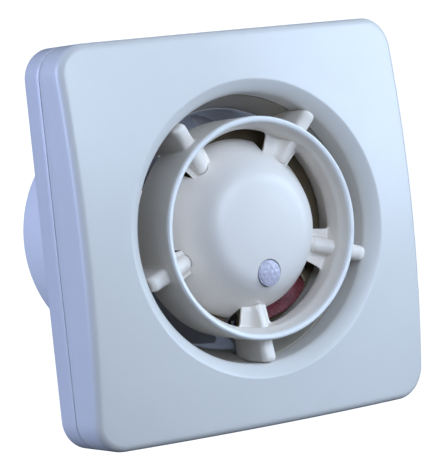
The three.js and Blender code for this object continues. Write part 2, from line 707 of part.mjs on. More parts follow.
/** Blade twisted from a steep root to a flat tip. */
function blade(angle) {
  const root = HUB_R - 1;
  const span = TIP_R - root;
  const plain = new THREE.ExtrudeGeometry(bladeShape(), { depth: span, steps: 4, bevelEnabled: false });
  const position = plain.attributes.position;
  for (let i = 0; i < position.count; i += 1) {
    const t = position.getZ(i) / span;
    const chord = 22 + 13 * t;
    const pitch = radians(44 - 18 * t);
    const sweep = radians(9 * t * t);
    const across = position.getX(i) * chord;
    const lift = position.getY(i) * chord;
    const along = across * Math.cos(pitch) + lift * Math.sin(pitch);
    const y = BLADE_Y - across * Math.sin(pitch) + lift * Math.cos(pitch);
    const r = root + span * t;
    const around = along / r + sweep;
    position.setXYZ(i, r * Math.cos(around), y, r * Math.sin(around));
  }
  return closed(plain).rotateY(-radians(angle));
}

function impeller() {
  const hub = turned([
    [SHAFT_R + FIT, 5.6], [6, 5.6], [6.5, HUB_FRONT], [17.6, HUB_FRONT], [19.3, 7.7], [HUB_R, 9.4],
    [HUB_R, HUB_BACK], [18.4, HUB_BACK], [18.4, 10.2], [17, 8.8], [6, 8.8], [6, 17.8],
    [SHAFT_R + FIT, 17.8],
  ], 28);
  const blades = [];
  for (let i = 0; i < BLADES; i += 1) blades.push(blade(i * 360 / BLADES + BLADE_REST));
  return join(hub, ...blades);
}

function impellerClip() {
  return turned([
    [SHAFT_R + FIT, 18.1], [5.4, 18.1], [5.4, 18.9], [3.8, 20.2], [SHAFT_R + FIT, 20.2],
  ], 18);
}

// ---------------------------------------------------------------- timer board and its parts
function controlBoard() {
  const { front, back, half, bottom, top } = BOARD;
  const plate = slab(rectangle(-half, half, bottom, top), front, back);
  const holes = BOARD_POSTS.map(([x, z]) => rod(1.6, -12, -4, x, z, 12));
  return cut(plate, rod(57.8, -12, -4, 0, 0, ROUND), ...holes);
}

const ON_BOARD = BOARD.front - FIT;
const TERMINALS = [-36, -29.5, -23];

function terminalBlock() {
  const body = block(-40, -19, -20, ON_BOARD, -72, -62);
  const wells = TERMINALS.map((x) => rod(2.2, -25, -13.5, x, -66.5, 12));
  const entries = TERMINALS.map((x) => block(x - 2, x + 2, -13, -9.5, -75, -67.5));
  return cut(body, ...wells, ...entries);
}

function relay() {
  return slab(softRectangle(8.5, 24.5, -71, -60.5, 0.8), -23.5, ON_BOARD, 2);
}

function suppressionCapacitor() {
  return slab(softRectangle(-16.5, -8.5, -72, -60, 0.6), -19.5, ON_BOARD, 2);
}

function electrolyticCapacitor() {
  return turned([
    [0, -21], [4.4, -21], [4.9, -20.5], [4.9, -11.6], [4.4, -11], [4.9, -10.4],
    [4.9, ON_BOARD], [0, ON_BOARD],
  ], 20).translate(30.5, 0, -66.5);
}

function timerBase() {
  const { x, z } = TIMER;
  return slab(softRectangle(x - 4.6, x + 4.6, z - 4.6, z + 4.6, 0.6), -12.2, ON_BOARD, 2);
}

function timerAdjuster() {
  const dial = turned([[0, -15], [2.9, -15], [3.3, -14.6], [3.3, -12.6], [0, -12.6]], 20);
  return cut(dial, block(-2.2, 2.2, -16, -14, -0.5, 0.5));
}

function cableClamp() {
  const bar = slab(softRectangle(-72, -52, CLAMP_Z - 3, CLAMP_Z + 3, 1.5), -9.6, -6.9, 3);
  const saddle = rod(4, -20, -4, 0, 0, 20).rotateX(Math.PI / 2).translate(-62, -4.6, CLAMP_Z + 12);
  const holes = CLAMP_POSTS.map((x) => rod(1.6, -12, -4, x, CLAMP_Z, 12));
  return cut(bar, saddle, ...holes);
}

// ---------------------------------------------------------------- leads
const LEAD_R = 0.8;

const LEAD_STARTS = [
  [[12.4, 3, -32.4], [8, 3.4, -33.4], [5, 2.6, -38.4]],
  [[17, 3, -29.2], [15.2, 3.5, -33.4], [11, 3.3, -37.2], [7.7, 2.2, -39.2]],
];

function motorLead(side) {
  const lane = 0.7 + 1.9 * side;
  return lead(LEAD_R, [
    ...LEAD_STARTS[side],
    [lane + 2.2, -4, -42.4], [lane, -9.4, -44.8], [lane, -11.4, -48], [lane, -11.4, -53],
    [lane + 0.6, -11.6, -57.5], [lane + 1.2, -11.4, -60.6], [lane + 1.4, -10.2, -62.4],
    [lane + 1.4, ON_BOARD, -62.5],
  ], 26);
}

function sensorLead() {
  return lead(LEAD_R, [
    [-4.5, PIR_BOARD.back + 0.9, -20.4], [-4.5, -27.2, -23.4], [-4.5, -25.2, -26.4], [-4.5, -22.6, -26.9],
    [-6, -19, -31], [-6.4, -13, -36], [-4.4, -9.6, -41], [-2, -10.4, -44.6], [-1.8, -11.4, -48],
    [-1.8, -11.4, -53], [-2.2, -11.6, -57.5], [-2.7, -11.4, -60.6], [-2.8, -10.2, -62.4],
    [-2.8, ON_BOARD, -62.5],
  ], 28);
}

// ---------------------------------------------------------------- materials and assembly
const WHITE = { color: 0xe6ebf2, roughness: 0.28, metalness: 0 };
const PALE = { color: 0xdfe3ea, roughness: 0.4, metalness: 0 };
const GREY = { color: 0xb9bcc8, roughness: 0.5, metalness: 0 };
const STEEL = { color: 0xa7abb0, roughness: 0.35, metalness: 1 };
const IRON = { color: 0x6a6d72, roughness: 0.5, metalness: 0.8 };
const BRONZE = { color: 0x9a6b3f, roughness: 0.5, metalness: 0.8 };
const COPPER = { color: 0xb4633a, roughness: 0.4, metalness: 0.9 };
const BRASS = { color: 0xc29a4a, roughness: 0.35, metalness: 1 };
const RED = { color: 0x6d1f2c, roughness: 0.45, metalness: 0 };
const GREEN = { color: 0x2c5a3a, roughness: 0.5, metalness: 0 };
const BLACK = { color: 0x22242a, roughness: 0.5, metalness: 0 };
const BROWN = { color: 0x5a4c34, roughness: 0.7, metalness: 0 };
const LENS = { color: 0xd6d3ea, roughness: 0.25, metalness: 0 };

const fan = new THREE.Group();

function piece(name, shape, look, x = 0, y = 0, z = 0) {
  const mesh = new THREE.Mesh(geometryOf(shape), new THREE.MeshStandardMaterial(look));
  mesh.name = name;
  mesh.position.set(x, y, z);
  fan.add(mesh);
}

piece('rear_housing', rearHousing(), WHITE);
piece('front_cover', frontCover(), WHITE);
piece('motor_carrier', motorCarrier(), WHITE);
piece('dome_cap', domeCap(), WHITE);
piece('pir_lens', pirLens(), LENS);
piece('pir_board', pirBoard(), GREEN);
piece('pir_sensor', pirSensor(), STEEL);

piece('stator_stack', statorStack(), IRON);
piece('insulating_board', insulatingBoard(), BROWN);
piece('coil_bobbin', coilBobbin(), PALE);
piece('coil_winding', coilWinding(), COPPER);
piece('winding_tape', windingTape(), RED);
piece('rotor', rotor(), IRON);
piece('motor_shaft', motorShaft(), STEEL);
piece('front_bearing_bracket', bearingBracket(STACK.front - FIT, -3.6, 5.2), STEEL);
piece('rear_bearing_bracket', bearingBracket(STACK.back + FIT, 3.6, 5.2), STEEL);
piece('front_bearing_bush', bearingBush(-23.4, -18.6), BRONZE);
piece('rear_bearing_bush', bearingBush(-1.4, 3.4), BRONZE);
MOTOR_SCREWS.forEach(([x, z], i) => {
  piece(`motor_screw_${i + 1}`, screw(x, z, FLOOR_FRONT - FIT, 27, 1.4, 3.4, 1.9), STEEL);
});
piece('impeller', impeller(), GREY);
piece('impeller_clip', impellerClip(), STEEL);

piece('control_board', controlBoard(), GREEN);
piece('terminal_block', terminalBlock(), PALE);
TERMINALS.forEach((x, i) => {
  piece(`terminal_screw_${i + 1}`, screw(x, -66.5, -16.5, 2.6, 1, 1.8, 1.2), BRASS);
});
piece('relay', relay(), BLACK);
piece('suppression_capacitor', suppressionCapacitor(), { color: 0xd8b23a, roughness: 0.45, metalness: 0 });
piece('electrolytic_capacitor', electrolyticCapacitor(), { color: 0x27324f, roughness: 0.4, metalness: 0 });
piece('timer_base', timerBase(), { color: 0x3a5fa8, roughness: 0.45, metalness: 0 });
piece('timer_adjuster', timerAdjuster(), PALE, TIMER.x, 0, TIMER.z);
piece('cable_grommet', cableGrommet(), BLACK);
piece('cable_clamp', cableClamp(), PALE);
CLAMP_POSTS.forEach((x, i) => {
  piece(`clamp_screw_${i + 1}`, screw(x, CLAMP_Z, -9.6 - FIT, 7.6, 1.1, 2.4, 1.5), STEEL);
});
BOARD_POSTS.forEach(([x, z], i) => {
  piece(`board_screw_${i + 1}`, screw(x, z, BOARD.front - FIT, 6, 1.1, 2.4, 1.5), STEEL);
});
CORNERS.forEach(([sx, sz], i) => {
  const seat = ARM_FRONT - FIT;
  piece(`carrier_screw_${i + 1}`, screw(sx * POST_XZ, sz * POST_XZ, seat, 12, 1.5, 3.3, 1.9), STEEL);
});

piece('motor_lead_1', motorLead(0), { color: 0x8a5a3a, roughness: 0.5, metalness: 0 });
piece('motor_lead_2', motorLead(1), { color: 0x3a5f9a, roughness: 0.5, metalness: 0 });
piece('sensor_lead', sensorLead(), { color: 0xc8c8cc, roughness: 0.5, metalness: 0 });

export default fan;
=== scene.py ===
"""Bathroom extractor fan: the visible pieces, materials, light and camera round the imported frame."""
import math

import bmesh
import bpy
from mathutils import Matrix, Vector


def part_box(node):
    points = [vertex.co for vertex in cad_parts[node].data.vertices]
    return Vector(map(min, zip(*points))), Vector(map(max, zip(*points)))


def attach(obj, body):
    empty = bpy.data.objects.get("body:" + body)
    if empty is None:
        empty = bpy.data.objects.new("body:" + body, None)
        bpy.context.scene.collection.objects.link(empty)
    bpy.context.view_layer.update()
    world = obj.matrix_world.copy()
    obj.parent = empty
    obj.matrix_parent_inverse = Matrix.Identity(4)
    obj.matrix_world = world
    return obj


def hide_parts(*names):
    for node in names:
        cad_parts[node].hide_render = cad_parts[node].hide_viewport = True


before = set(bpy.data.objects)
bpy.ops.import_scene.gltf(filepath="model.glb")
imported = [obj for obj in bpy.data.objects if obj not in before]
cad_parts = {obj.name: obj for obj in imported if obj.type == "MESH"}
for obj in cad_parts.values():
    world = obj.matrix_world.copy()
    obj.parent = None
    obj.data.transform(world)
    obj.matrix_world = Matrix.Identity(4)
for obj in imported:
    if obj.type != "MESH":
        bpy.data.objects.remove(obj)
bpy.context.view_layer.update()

MM = 0.001
FIXED = "housing"
COVER = "cover"
SPINNING = "rotor_set"
TURN = 2 * math.pi


# ---- driving sizes, in millimetres
def size_mm(node):
    low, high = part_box(node)
    return [v / MM for v in low], [v / MM for v in high]


cover_high = size_mm("front_cover")[1]
housing_high = size_mm("rear_housing")[1]
carrier_low = size_mm("motor_carrier")[0]
tape_low = size_mm("winding_tape")[0]
dome_low, dome_high = size_mm("dome_cap")
lens_low, lens_high = size_mm("pir_lens")
grommet_low, grommet_high = size_mm("cable_grommet")

HALF = cover_high[0]
CORNER = 12.2
COVER_BACK = cover_high[1]
JOINT_GAP = 0.4
HOUSING_FRONT = COVER_BACK + JOINT_GAP
FACE_DEPTH = 25.4
FACE_BOW = 6.6
EDGE = 3.0
SKIN = 2.2
SPIGOT_R = 49.5
SPIGOT_BORE = 47.5
SPIGOT_END = housing_high[1]
STUB_FRONT = -8.0
THROAT_R = 52.6
THROAT_BACK = -20.0
LIP_R = 58.0
LIP_START = -29.0
LIP_SOFT = 0.7
RIM_FRONT = carrier_low[1]
CUP_BACK = -13.0
FLOOR = -25.2
RIB_CREST = -31.0
RIB_BACK = -9.0
RIB_TIP_R = 29.3
RIB_TIP_DEPTH = 28.0
RIB_SLOPE = 0.245
RIB_ANGLES = (54, 126, 198, 270, 342)
CABLE_RIB = 270
SWEPT_FLANKS = ((270, False), (54, True))    # rib, and whether its anticlockwise flank is the swept one
NOTCH_HALF = 3.8
COIL_SLOT = (279, 329)
SLOTS = ((69, 116), (-7, 46), COIL_SLOT, (207, 258), (135, 189))
SLOT_INNER = 28.8
SLOT_OUTER = 38.8
SLOT_CORNER = 3.6
COIL_FRONT = tape_low[1]
DOME_BASE_R = dome_high[0]
DOME_BACK = dome_high[1]
DOME_FRONT = dome_low[1]
LENS_Z = (lens_low[2] + lens_high[2]) / 2
LENS_R = (lens_high[0] - lens_low[0]) / 2
LENS_HOLE_R = 5.4
COIL_ANGLE = 300
POST_XZ = 61.0
GLAND_X = (grommet_low[0] + grommet_high[0]) / 2
GLAND_Z = (grommet_low[2] + grommet_high[2]) / 2
HUB_R = 20.0
TIP_R = 46.0
BLADES = 6
BLADE_Y = 13.8
BLADE_REST = 3


# ---- node materials
class Shader:
    """A material's node tree, with one principled shader, built a node at a time."""

    def __init__(self, name, base, roughness, metallic=0.0, **shader_values):
        self.material = bpy.data.materials.new(name)
        self.material.use_nodes = True
        self.material.diffuse_color = (*base, 1)
        self.tree = self.material.node_tree
        self.tree.nodes.clear()
        output = self.add("ShaderNodeOutputMaterial")
        inputs = {"Base Color": (*base, 1), "Roughness": roughness, "Metallic": metallic}
        inputs.update({key.replace("_", " "): value for key, value in shader_values.items()})
        self.shader = self.add("ShaderNodeBsdfPrincipled", inputs)
        self.link(self.shader, "BSDF", output, "Surface")
        self.position = self.add("ShaderNodeTexCoord")
        self.normal = None

    def add(self, kind, inputs=None, **values):
        """New node with its inputs and its other settings."""
        node = self.tree.nodes.new(kind)
        for key, value in values.items():
            setattr(node, key, value)
        for key, value in (inputs or {}).items():
            node.inputs[key].default_value = value
        return node

    def link(self, a, out, b, into):
        self.tree.links.new(a.outputs[out], b.inputs[into])

    def texture(self, kind, inputs, mapping=None, **values):
        """Texture in the object's own coordinates, which a mapping can stretch or turn."""
        texture = self.add(kind, inputs, **values)
        place, out = self.position, "Object"
        if mapping:
            place, out = self.add("ShaderNodeMapping", mapping), "Vector"
            self.link(self.position, "Object", place, "Vector")
        self.link(place, out, texture, "Vector")
        return texture

    def noise(self, scale, detail=3.0, rough=0.55, mapping=None):
        inputs = {"Scale": scale, "Detail": detail, "Roughness": rough}
        return self.texture("ShaderNodeTexNoise", inputs, mapping)

    def ramp(self, source, out, stops):
        ramp = self.add("ShaderNodeValToRGB")
        elements = ramp.color_ramp.elements
        while len(elements) < len(stops):
            elements.new(0.5)
        for element, (place, value) in zip(elements, stops):
            element.position = place
            element.color = (*value, 1) if isinstance(value, tuple) else (value, value, value, 1)
        self.link(source, out, ramp, "Fac")
        return ramp

    def colour_by(self, ramp):
        self.link(ramp, "Color", self.shader, "Base Color")

    def mix(self, a, b, factor):
        """Colour a towards colour b by a factor node; a and b are ramps or colours."""
        mix = self.add("ShaderNodeMix", data_type="RGBA")
        for value, index in ((a, 6), (b, 7)):
            if isinstance(value, tuple):
                mix.inputs[index].default_value = (*value, 1)
            else:
                out = value.outputs[2] if value.bl_idname == "ShaderNodeMix" else value.outputs["Color"]
                self.tree.links.new(out, mix.inputs[index])
        self.tree.links.new(factor.outputs["Color"], mix.inputs[0])
        return mix

    def colour_from(self, mix):
        self.tree.links.new(mix.outputs[2], self.shader.inputs["Base Color"])

    def roughness_by(self, source, out, low, high):
        spread = self.add("ShaderNodeMapRange", {"To Min": low, "To Max": high})
        self.link(source, out, spread, "Value")
        self.link(spread, "Result", self.shader, "Roughness")

    def bump(self, source, out, strength, distance):
        bump = self.add("ShaderNodeBump", {"Strength": strength, "Distance": distance})
        self.link(source, out, bump, "Height")
        if self.normal:
            self.link(self.normal, "Normal", bump, "Normal")
        self.normal = bump
        self.link(bump, "Normal", self.shader, "Normal")


def shade(colour, factor):
    return tuple(min(1.0, c * factor) for c in colour)


def moulded(name, base, roughness, coat=(0, 0.03), grain=0.25, mottle=0.03, edge_wear_and_sheen=1.05, hollow_darkening=0.82, soft=0):
    """Injection moulded plastic: faint mottling, orange peel, fine grain, edges made paler (wear and a
    painted sheen) and darker hollows.
    """
    gloss, haze = coat
    s = Shader(name, base, roughness, Coat_Weight=gloss, Coat_Roughness=haze, Subsurface_Weight=soft)
    clouds = s.noise(22.0, detail=4)
    body = s.ramp(clouds, "Fac", ((0.32, shade(base, 1 - mottle)), (0.68, shade(base, 1 + mottle / 2))))
    edges = s.add("ShaderNodeNewGeometry")
    # Hollows found by pointiness are made darker.
    cavity = s.ramp(edges, "Pointiness", ((0.44, 1.0), (0.495, 0.0)))
    # Sharp edges are made lighter: partly wear, partly a painted sheen.
    crest = s.ramp(edges, "Pointiness", ((0.51, 0.0), (0.57, 1.0)))
    dulled = s.mix(body, shade(base, hollow_darkening), cavity)
    s.colour_from(s.mix(dulled, shade(base, edge_wear_and_sheen), crest))
    s.roughness_by(s.noise(160.0, detail=5), "Fac", roughness * 0.82, roughness * 1.22)
    s.bump(s.noise(750.0, detail=2), "Fac", 0.10, 0.00003)
    s.bump(s.noise(5200.0, detail=2), "Fac", grain, 0.00004)
    return s.material


def metal(name, base, roughness, brushed=(1, 1, 1), tarnish=0.75):
    """Bare or plated metal: drawn lines along one axis, tarnish in clouds and brighter rubbed edges."""
    s = Shader(name, base, roughness, metallic=1.0)
    clouds = s.noise(120.0, detail=6)
    body = s.ramp(clouds, "Fac", ((0.3, shade(base, tarnish)), (0.7, base)))
    edges = s.add("ShaderNodeNewGeometry")
    crest = s.ramp(edges, "Pointiness", ((0.52, 0.0), (0.6, 1.0)))
    s.colour_from(s.mix(body, shade(base, 1.25), crest))
    lines = s.noise(900.0, detail=4, mapping={"Scale": brushed})
    s.roughness_by(lines, "Fac", roughness * 0.7, roughness * 1.4)
    s.bump(lines, "Fac", 0.3, 0.00003)
    return s.material


def laminations(name, base):
    """Stacked steel sheets: fine lines across the shaft's direction and a trace of rust."""
    s = Shader(name, base, 0.45, metallic=0.9)
    inputs = {"Scale": 320.0, "Distortion": 0.6, "Detail": 2.0}
    wave = s.texture("ShaderNodeTexWave", inputs, wave_type="BANDS", bands_direction="Y")
    sheets = s.ramp(wave, "Fac", ((0.15, shade(base, 0.35)), (0.55, base)))
    rust = s.ramp(s.noise(260.0, detail=8, rough=0.7), "Fac", ((0.58, 0.0), (0.74, 0.8)))
    s.colour_from(s.mix(sheets, (0.23, 0.11, 0.06), rust))
    s.bump(wave, "Fac", 0.6, 0.0001)
    return s.material


def speckled_tape(name, base):
    """Varnished fabric tape: dark red with pale flecks, a woven bump and a glossy skin."""
    s = Shader(name, base, 0.32, Coat_Weight=0.5, Coat_Roughness=0.15)
    flecks = s.noise(1400.0, detail=5, rough=0.8)
    fleck = s.ramp(flecks, "Fac", ((0.53, 0.0), (0.66, 1.0)))
    clouds = s.ramp(s.noise(300.0, detail=4), "Fac", ((0.3, shade(base, 0.45)), (0.7, shade(base, 1.15))))
    s.colour_from(s.mix(clouds, (0.42, 0.10, 0.12), fleck))
    s.bump(flecks, "Fac", 0.5, 0.00012)
    s.bump(s.noise(420.0, detail=1), "Fac", 0.4, 0.0004)
    return s.material


def board_laminate(name, base):
    """Solder-masked board: faint glass weave, darker tracks below the mask and a satin shine."""
    s = Shader(name, base, 0.32, Coat_Weight=0.3)
    inputs = {"Scale": 230.0, "Mortar Size": 0.012}
    for socket, factor in (("Color1", 0.8), ("Color2", 1.12), ("Mortar", 0.62)):
        inputs[socket] = (*shade(base, factor), 1)
    weave = s.texture("ShaderNodeTexBrick", inputs, {"Rotation": (math.pi / 2, 0, 0)})
    blotch = s.ramp(s.noise(60.0), "Fac", ((0.4, 0.0), (0.75, 0.5)))
    s.colour_from(s.mix(weave, shade(base, 1.3), blotch))
    s.bump(weave, "Fac", 0.25, 0.00006)
    return s.material


def wire_sleeve(name, base):
    """Insulation: a little mottled, with long scuffs and a waxy shine."""
    s = Shader(name, base, 0.38)
    s.colour_by(s.ramp(s.noise(180.0, detail=5), "Fac", ((0.3, shade(base, 0.75)), (0.7, shade(base, 1.1)))))
    s.bump(s.noise(900.0, detail=3), "Fac", 0.3, 0.00008)
    return s.material


def wound_copper(name, base):
    """Enamelled winding: turns lying side by side, darker between them."""
    s = Shader(name, base, 0.3, metallic=0.85, Coat_Weight=0.6)
    inputs = {"Scale": 500.0, "Distortion": 1.2}
    wave = s.texture("ShaderNodeTexWave", inputs, wave_type="BANDS", bands_direction="X")
    s.colour_by(s.ramp(wave, "Fac", ((0.1, shade(base, 0.35)), (0.6, base))))
    s.bump(wave, "Fac", 0.7, 0.0001)
    return s.material


def frosted_lens(name, base):
    """Sensor lens: milky plastic, slightly clear, with a fine ripple and clouded facets."""
    s = Shader(name, base, 0.22, Transmission_Weight=0.25, IOR=1.49, Coat_Weight=0.4, Coat_Roughness=0.08)
    cells = s.texture("ShaderNodeTexVoronoi", {"Scale": 620.0}, feature="F1")
    s.colour_by(s.ramp(cells, "Distance", ((0.0, shade(base, 1.08)), (0.6, shade(base, 0.86)))))
    s.roughness_by(s.noise(900.0), "Fac", 0.14, 0.34)
    s.bump(cells, "Distance", 0.2, 0.0001)
    return s.material


COVER_WHITE = moulded("cover_white", (0.80, 0.776, 0.74), 0.36, (0.12, 0.25))
HOUSING_WHITE = moulded("housing_white", (0.79, 0.765, 0.75), 0.30, (0.2, 0.2))
# Its edges are lifted by 1.12: a painted highlight on the rim crest.
INNER_WHITE = moulded("inner_white", (0.88, 0.81, 0.73), 0.40, (0.12, 0.3), edge_wear_and_sheen=1.12)
DOME_WHITE = moulded("dome_white", (0.88, 0.82, 0.76), 0.38, (0.14, 0.25), edge_wear_and_sheen=1.01, hollow_darkening=0.96)
# A lighter copy of the housing white for the spigot: painted light on its side.
SPIGOT_LIT_WHITE = moulded("spigot_painted_light", (0.93, 0.905, 0.87), 0.34, (0.2, 0.2))
# A lighter copy of the inner white for the rim's front: painted highlight.
RIM_HIGHLIGHT_WHITE = moulded("rim_painted_highlight", (0.95, 0.94, 0.92), 0.38, (0.14, 0.25), edge_wear_and_sheen=1.02, hollow_darkening=0.97)
# A darkened copy of the white carrier plastic for the duct ring: painted shade.
DUCT_SHADED_WHITE = moulded("duct_painted_shade", (0.40, 0.365, 0.31), 0.5, mottle=0.06)
IMPELLER_GREY = moulded("impeller_grey", (0.62, 0.60, 0.62), 0.5, grain=0.4, mottle=0.06)
NYLON = moulded("nylon", (0.74, 0.74, 0.70), 0.45, grain=0.4, mottle=0.05, soft=0.05)
BLACK_PLASTIC = moulded("black_plastic", (0.02, 0.02, 0.024), 0.4, grain=0.5, mottle=0.2, edge_wear_and_sheen=2.4)
BLACK_RUBBER = moulded("black_rubber", (0.018, 0.018, 0.02), 0.62, grain=0.8, mottle=0.25, edge_wear_and_sheen=2.0)
BLUE_PLASTIC = moulded("blue_plastic", (0.045, 0.12, 0.42), 0.38, grain=0.4, mottle=0.08, edge_wear_and_sheen=1.3)
YELLOW_PLASTIC = moulded("yellow_plastic", (0.66, 0.46, 0.05), 0.42, grain=0.5, mottle=0.08, edge_wear_and_sheen=1.2)
# Dark brown board behind the cooling slots: its own brown, and kept dark to stand for the shade seen through
# the slots.
BROWN_FIBRE_SLOT_SHADE = moulded("brown_fibre", (0.09, 0.066, 0.034), 0.7, grain=0.9, mottle=0.25, edge_wear_and_sheen=1.4)
OLIVE_NYLON = moulded("olive_nylon", (0.16, 0.13, 0.08), 0.45, grain=0.4, mottle=0.08)
CAN_SLEEVE = moulded("can_sleeve", (0.02, 0.035, 0.10), 0.25, grain=0.2, mottle=0.1, edge_wear_and_sheen=1.6)
BOARD_GREEN = board_laminate("board_green", (0.03, 0.13, 0.06))
LAMINATION = laminations("lamination", (0.24, 0.21, 0.15))
STEEL = metal("plated_steel", (0.62, 0.63, 0.66), 0.32, brushed=(1, 8, 1))
BRASS = metal("terminal_brass", (0.62, 0.45, 0.16), 0.3, brushed=(8, 1, 1))
BRONZE = metal("sintered_bronze", (0.36, 0.20, 0.09), 0.5, tarnish=0.5)
CAN_STEEL = metal("sensor_can", (0.70, 0.69, 0.66), 0.25, brushed=(1, 1, 6))
COPPER = wound_copper("winding_copper", (0.50, 0.17, 0.06))
TAPE_RED = speckled_tape("tape_red", (0.12, 0.010, 0.018))
LENS = frosted_lens("frosted_lens", (0.78, 0.74, 0.88))
LEAD_BROWN = wire_sleeve("lead_brown", (0.11, 0.045, 0.02))
LEAD_BLUE = wire_sleeve("lead_blue", (0.03, 0.10, 0.36))
LEAD_GREY = wire_sleeve("lead_grey", (0.52, 0.52, 0.54))


# ---- mesh helpers
def in_scene(name, data):
    """New object in the scene."""
    obj = bpy.data.objects.new(name, data)
    bpy.context.collection.objects.link(obj)
    return obj


def new_object(name, bm, material, body, smooth_angle=35):
    """Object from a bmesh, with its faces turned outward, riding on a body if one is named."""
    mesh = bpy.data.meshes.new(name)
    bmesh.ops.remove_doubles(bm, verts=bm.verts, dist=1e-7)
    bmesh.ops.recalc_face_normals(bm, faces=bm.faces)
    bm.to_mesh(mesh)
    bm.free()
    obj = in_scene(name, mesh)
    mesh.materials.append(material)
    soften(obj, smooth_angle)
    if body:
        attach(obj, body)
    return obj


def soften(obj, angle=35):
    """Smooth shading, with edges sharper than an angle left crisp."""
    mesh = obj.data
    bm = bmesh.new()
    bm.from_mesh(mesh)
    limit = math.radians(angle)
    for face in bm.faces:
        face.smooth = True
    for edge in bm.edges:
        edge.smooth = len(edge.link_faces) == 2 and edge.calc_face_angle(math.pi) < limit
    bm.to_mesh(mesh)
    bm.free()


def add_grid(bm, rows, wrap_rows=False, wrap_columns=True):
    """Quads through rows of points in millimetres; equal points merge later."""
    verts = [[bm.verts.new(Vector(p) * MM) for p in row] for row in rows]
    last_row = len(rows) if wrap_rows else len(rows) - 1
    width = len(rows[0])
    last_column = width if wrap_columns else width - 1
    for i in range(last_row):
        a, b = verts[i], verts[(i + 1) % len(rows)]
        for j in range(last_column):
            k = (j + 1) % width
            bm.faces.new((a[j], a[k], b[k], b[j]))
    return verts


def around(r, y, angle):
    return (r * math.cos(angle), y, r * math.sin(angle))


def add_lathe(bm, outline, sides, centre=(0, 0)):
    """Closed outline of (radius, y) turned about a line parallel to Y through centre (x, z)."""
    rows = []
    for r, y in outline:
        ring = []
        for i in range(sides):
            x, _, z = around(r, y, TURN * i / sides)
            ring.append((x + centre[0], y, z + centre[1]))
        rows.append(ring)
    add_grid(bm, rows, wrap_rows=True)


def lathe(name, outline, material, body, sides, centre=(0, 0)):
    bm = bmesh.new()
    add_lathe(bm, outline, sides, centre)
    bmesh.ops.dissolve_degenerate(bm, edges=bm.edges, dist=1e-7)
    return new_object(name, bm, material, body)


def rounded(corners, steps=5):
    """Closed outline through (a, b, radius) corners, each rounded off."""
    points = []
    count = len(corners)
    for i, (a, b, radius) in enumerate(corners):
        here = Vector((a, b))
        if radius <= 0:
            points.append((a, b))
            continue
        before = Vector(corners[i - 1][:2]) - here
        after = Vector(corners[(i + 1) % count][:2]) - here
        reach = min(radius, before.length * 0.49, after.length * 0.49)
        start = here + before.normalized() * reach
        end = here + after.normalized() * reach
        for k in range(steps + 1):
            t = k / steps
            p = start * (1 - t) ** 2 + here * 2 * t * (1 - t) + end * t ** 2
            points.append((p.x, p.y))
    return points


def bezier(p0, p1, p2, p3, steps):
    """Points along a cubic curve, without its last point."""
    points = []
    for i in range(steps):
        t = i / steps
        weights = ((1 - t) ** 3, 3 * t * (1 - t) ** 2, 3 * t * t * (1 - t), t ** 3)
        points.append(tuple(sum(w * p[k] for w, p in zip(weights, (p0, p1, p2, p3))) for k in (0, 1)))
    return points


def smooth_curve(points, steps):
    """Dense points along a smooth curve through given (a, b) points."""
    dense = []
    last = len(points) - 1
    for i in range(last):
        p = [Vector(points[max(0, min(last, i + k))]) for k in (-1, 0, 1, 2)]
        for s in range(steps):
            t = s / steps
            q = 0.5 * (2 * p[1] + (p[2] - p[0]) * t + (2 * p[0] - 5 * p[1] + 4 * p[2] - p[3]) * t * t
                       + (3 * p[1] - p[0] - 3 * p[2] + p[3]) * t ** 3)
            dense.append((q.x, q.y))
    dense.append(tuple(points[-1]))
    return dense


def cut_away(obj, outline, front, back):
    """Takes a prism out of an object, for good."""
    cutter = prism("cutter", outline, front, back)
    modifier = obj.modifiers.new("cut", "BOOLEAN")
    modifier.operation = "DIFFERENCE"
    modifier.solver = "EXACT"
    modifier.object = cutter
    bpy.context.view_layer.update()
    evaluated = obj.evaluated_get(bpy.context.evaluated_depsgraph_get())
    mesh = bpy.data.meshes.new_from_object(evaluated)
    obj.modifiers.clear()
    old = obj.data
    obj.data = mesh
    bpy.data.meshes.remove(old)
    bpy.data.objects.remove(cutter, do_unlink=True)
    soften(obj)


def prism(name, outline, front, back):
    """Solid from a closed (x, z) outline between two depths."""
    bm = bmesh.new()
    rows = [[(x, y, z) for x, z in outline] for y in (front, back)]
    verts = add_grid(bm, rows)
    bm.faces.new(verts[0])
    bm.faces.new(verts[1])
    return new_object(name, bm, NYLON, None)


def circle(x, z, r, sides=64):
    return [(x + r * math.cos(TURN * i / sides), z + r * math.sin(TURN * i / sides)) for i in range(sides)]


# ---- the square outline and its stations
def outline_stations(corner_steps, side_steps):
    """Places round the square outline, each an anchor inside it and the direction outward."""
    core = HALF - CORNER
    reach = math.atan2(core, HALF)
    stations = []
    for side in range(4):
        turn = Matrix.Rotation(side * math.pi / 2, 2)
        for i in range(1, side_steps):
            offset = HALF * math.tan(reach * (2 * i / side_steps - 1))
            stations.append((turn @ Vector((core, offset)), turn @ Vector((1, 0))))
        for i in range(corner_steps + 1):
            angle = side * math.pi / 2 + math.pi / 2 * i / corner_steps
            stations.append((turn @ Vector((core, core)), Vector((math.cos(angle), math.sin(angle)))))
    return stations


STATIONS = outline_stations(14, 44)
QUARTER = [(1 - math.cos(math.pi / 2 * i / 4), math.sin(math.pi / 2 * i / 4)) for i in range(1, 5)]


def outline_point(station, inset):
    anchor, normal = station
    return anchor + normal * (CORNER - inset)


def section_tools(station):
    """Empty list of points, and two functions that add to it."""
    out = outline_point(station, 0).normalized()
    points = []

    def on_circle(r, y):
        points.append((out.x * r, y, out.y * r))

    def on_outline(inset, y):
        p = outline_point(station, inset)
        points.append((p.x, y, p.y))

    return points, on_circle, on_outline


def face_y(x, z):
    """Depth of the bowed face of the cover."""
    return -(FACE_DEPTH + FACE_BOW * (2 - (x * x + z * z) / (HALF * HALF)))


def add_station_loft(bm, section):
    """Closed loft through section(station) at every station of the square outline."""
    add_grid(bm, [section(station) for station in STATIONS], wrap_rows=True)


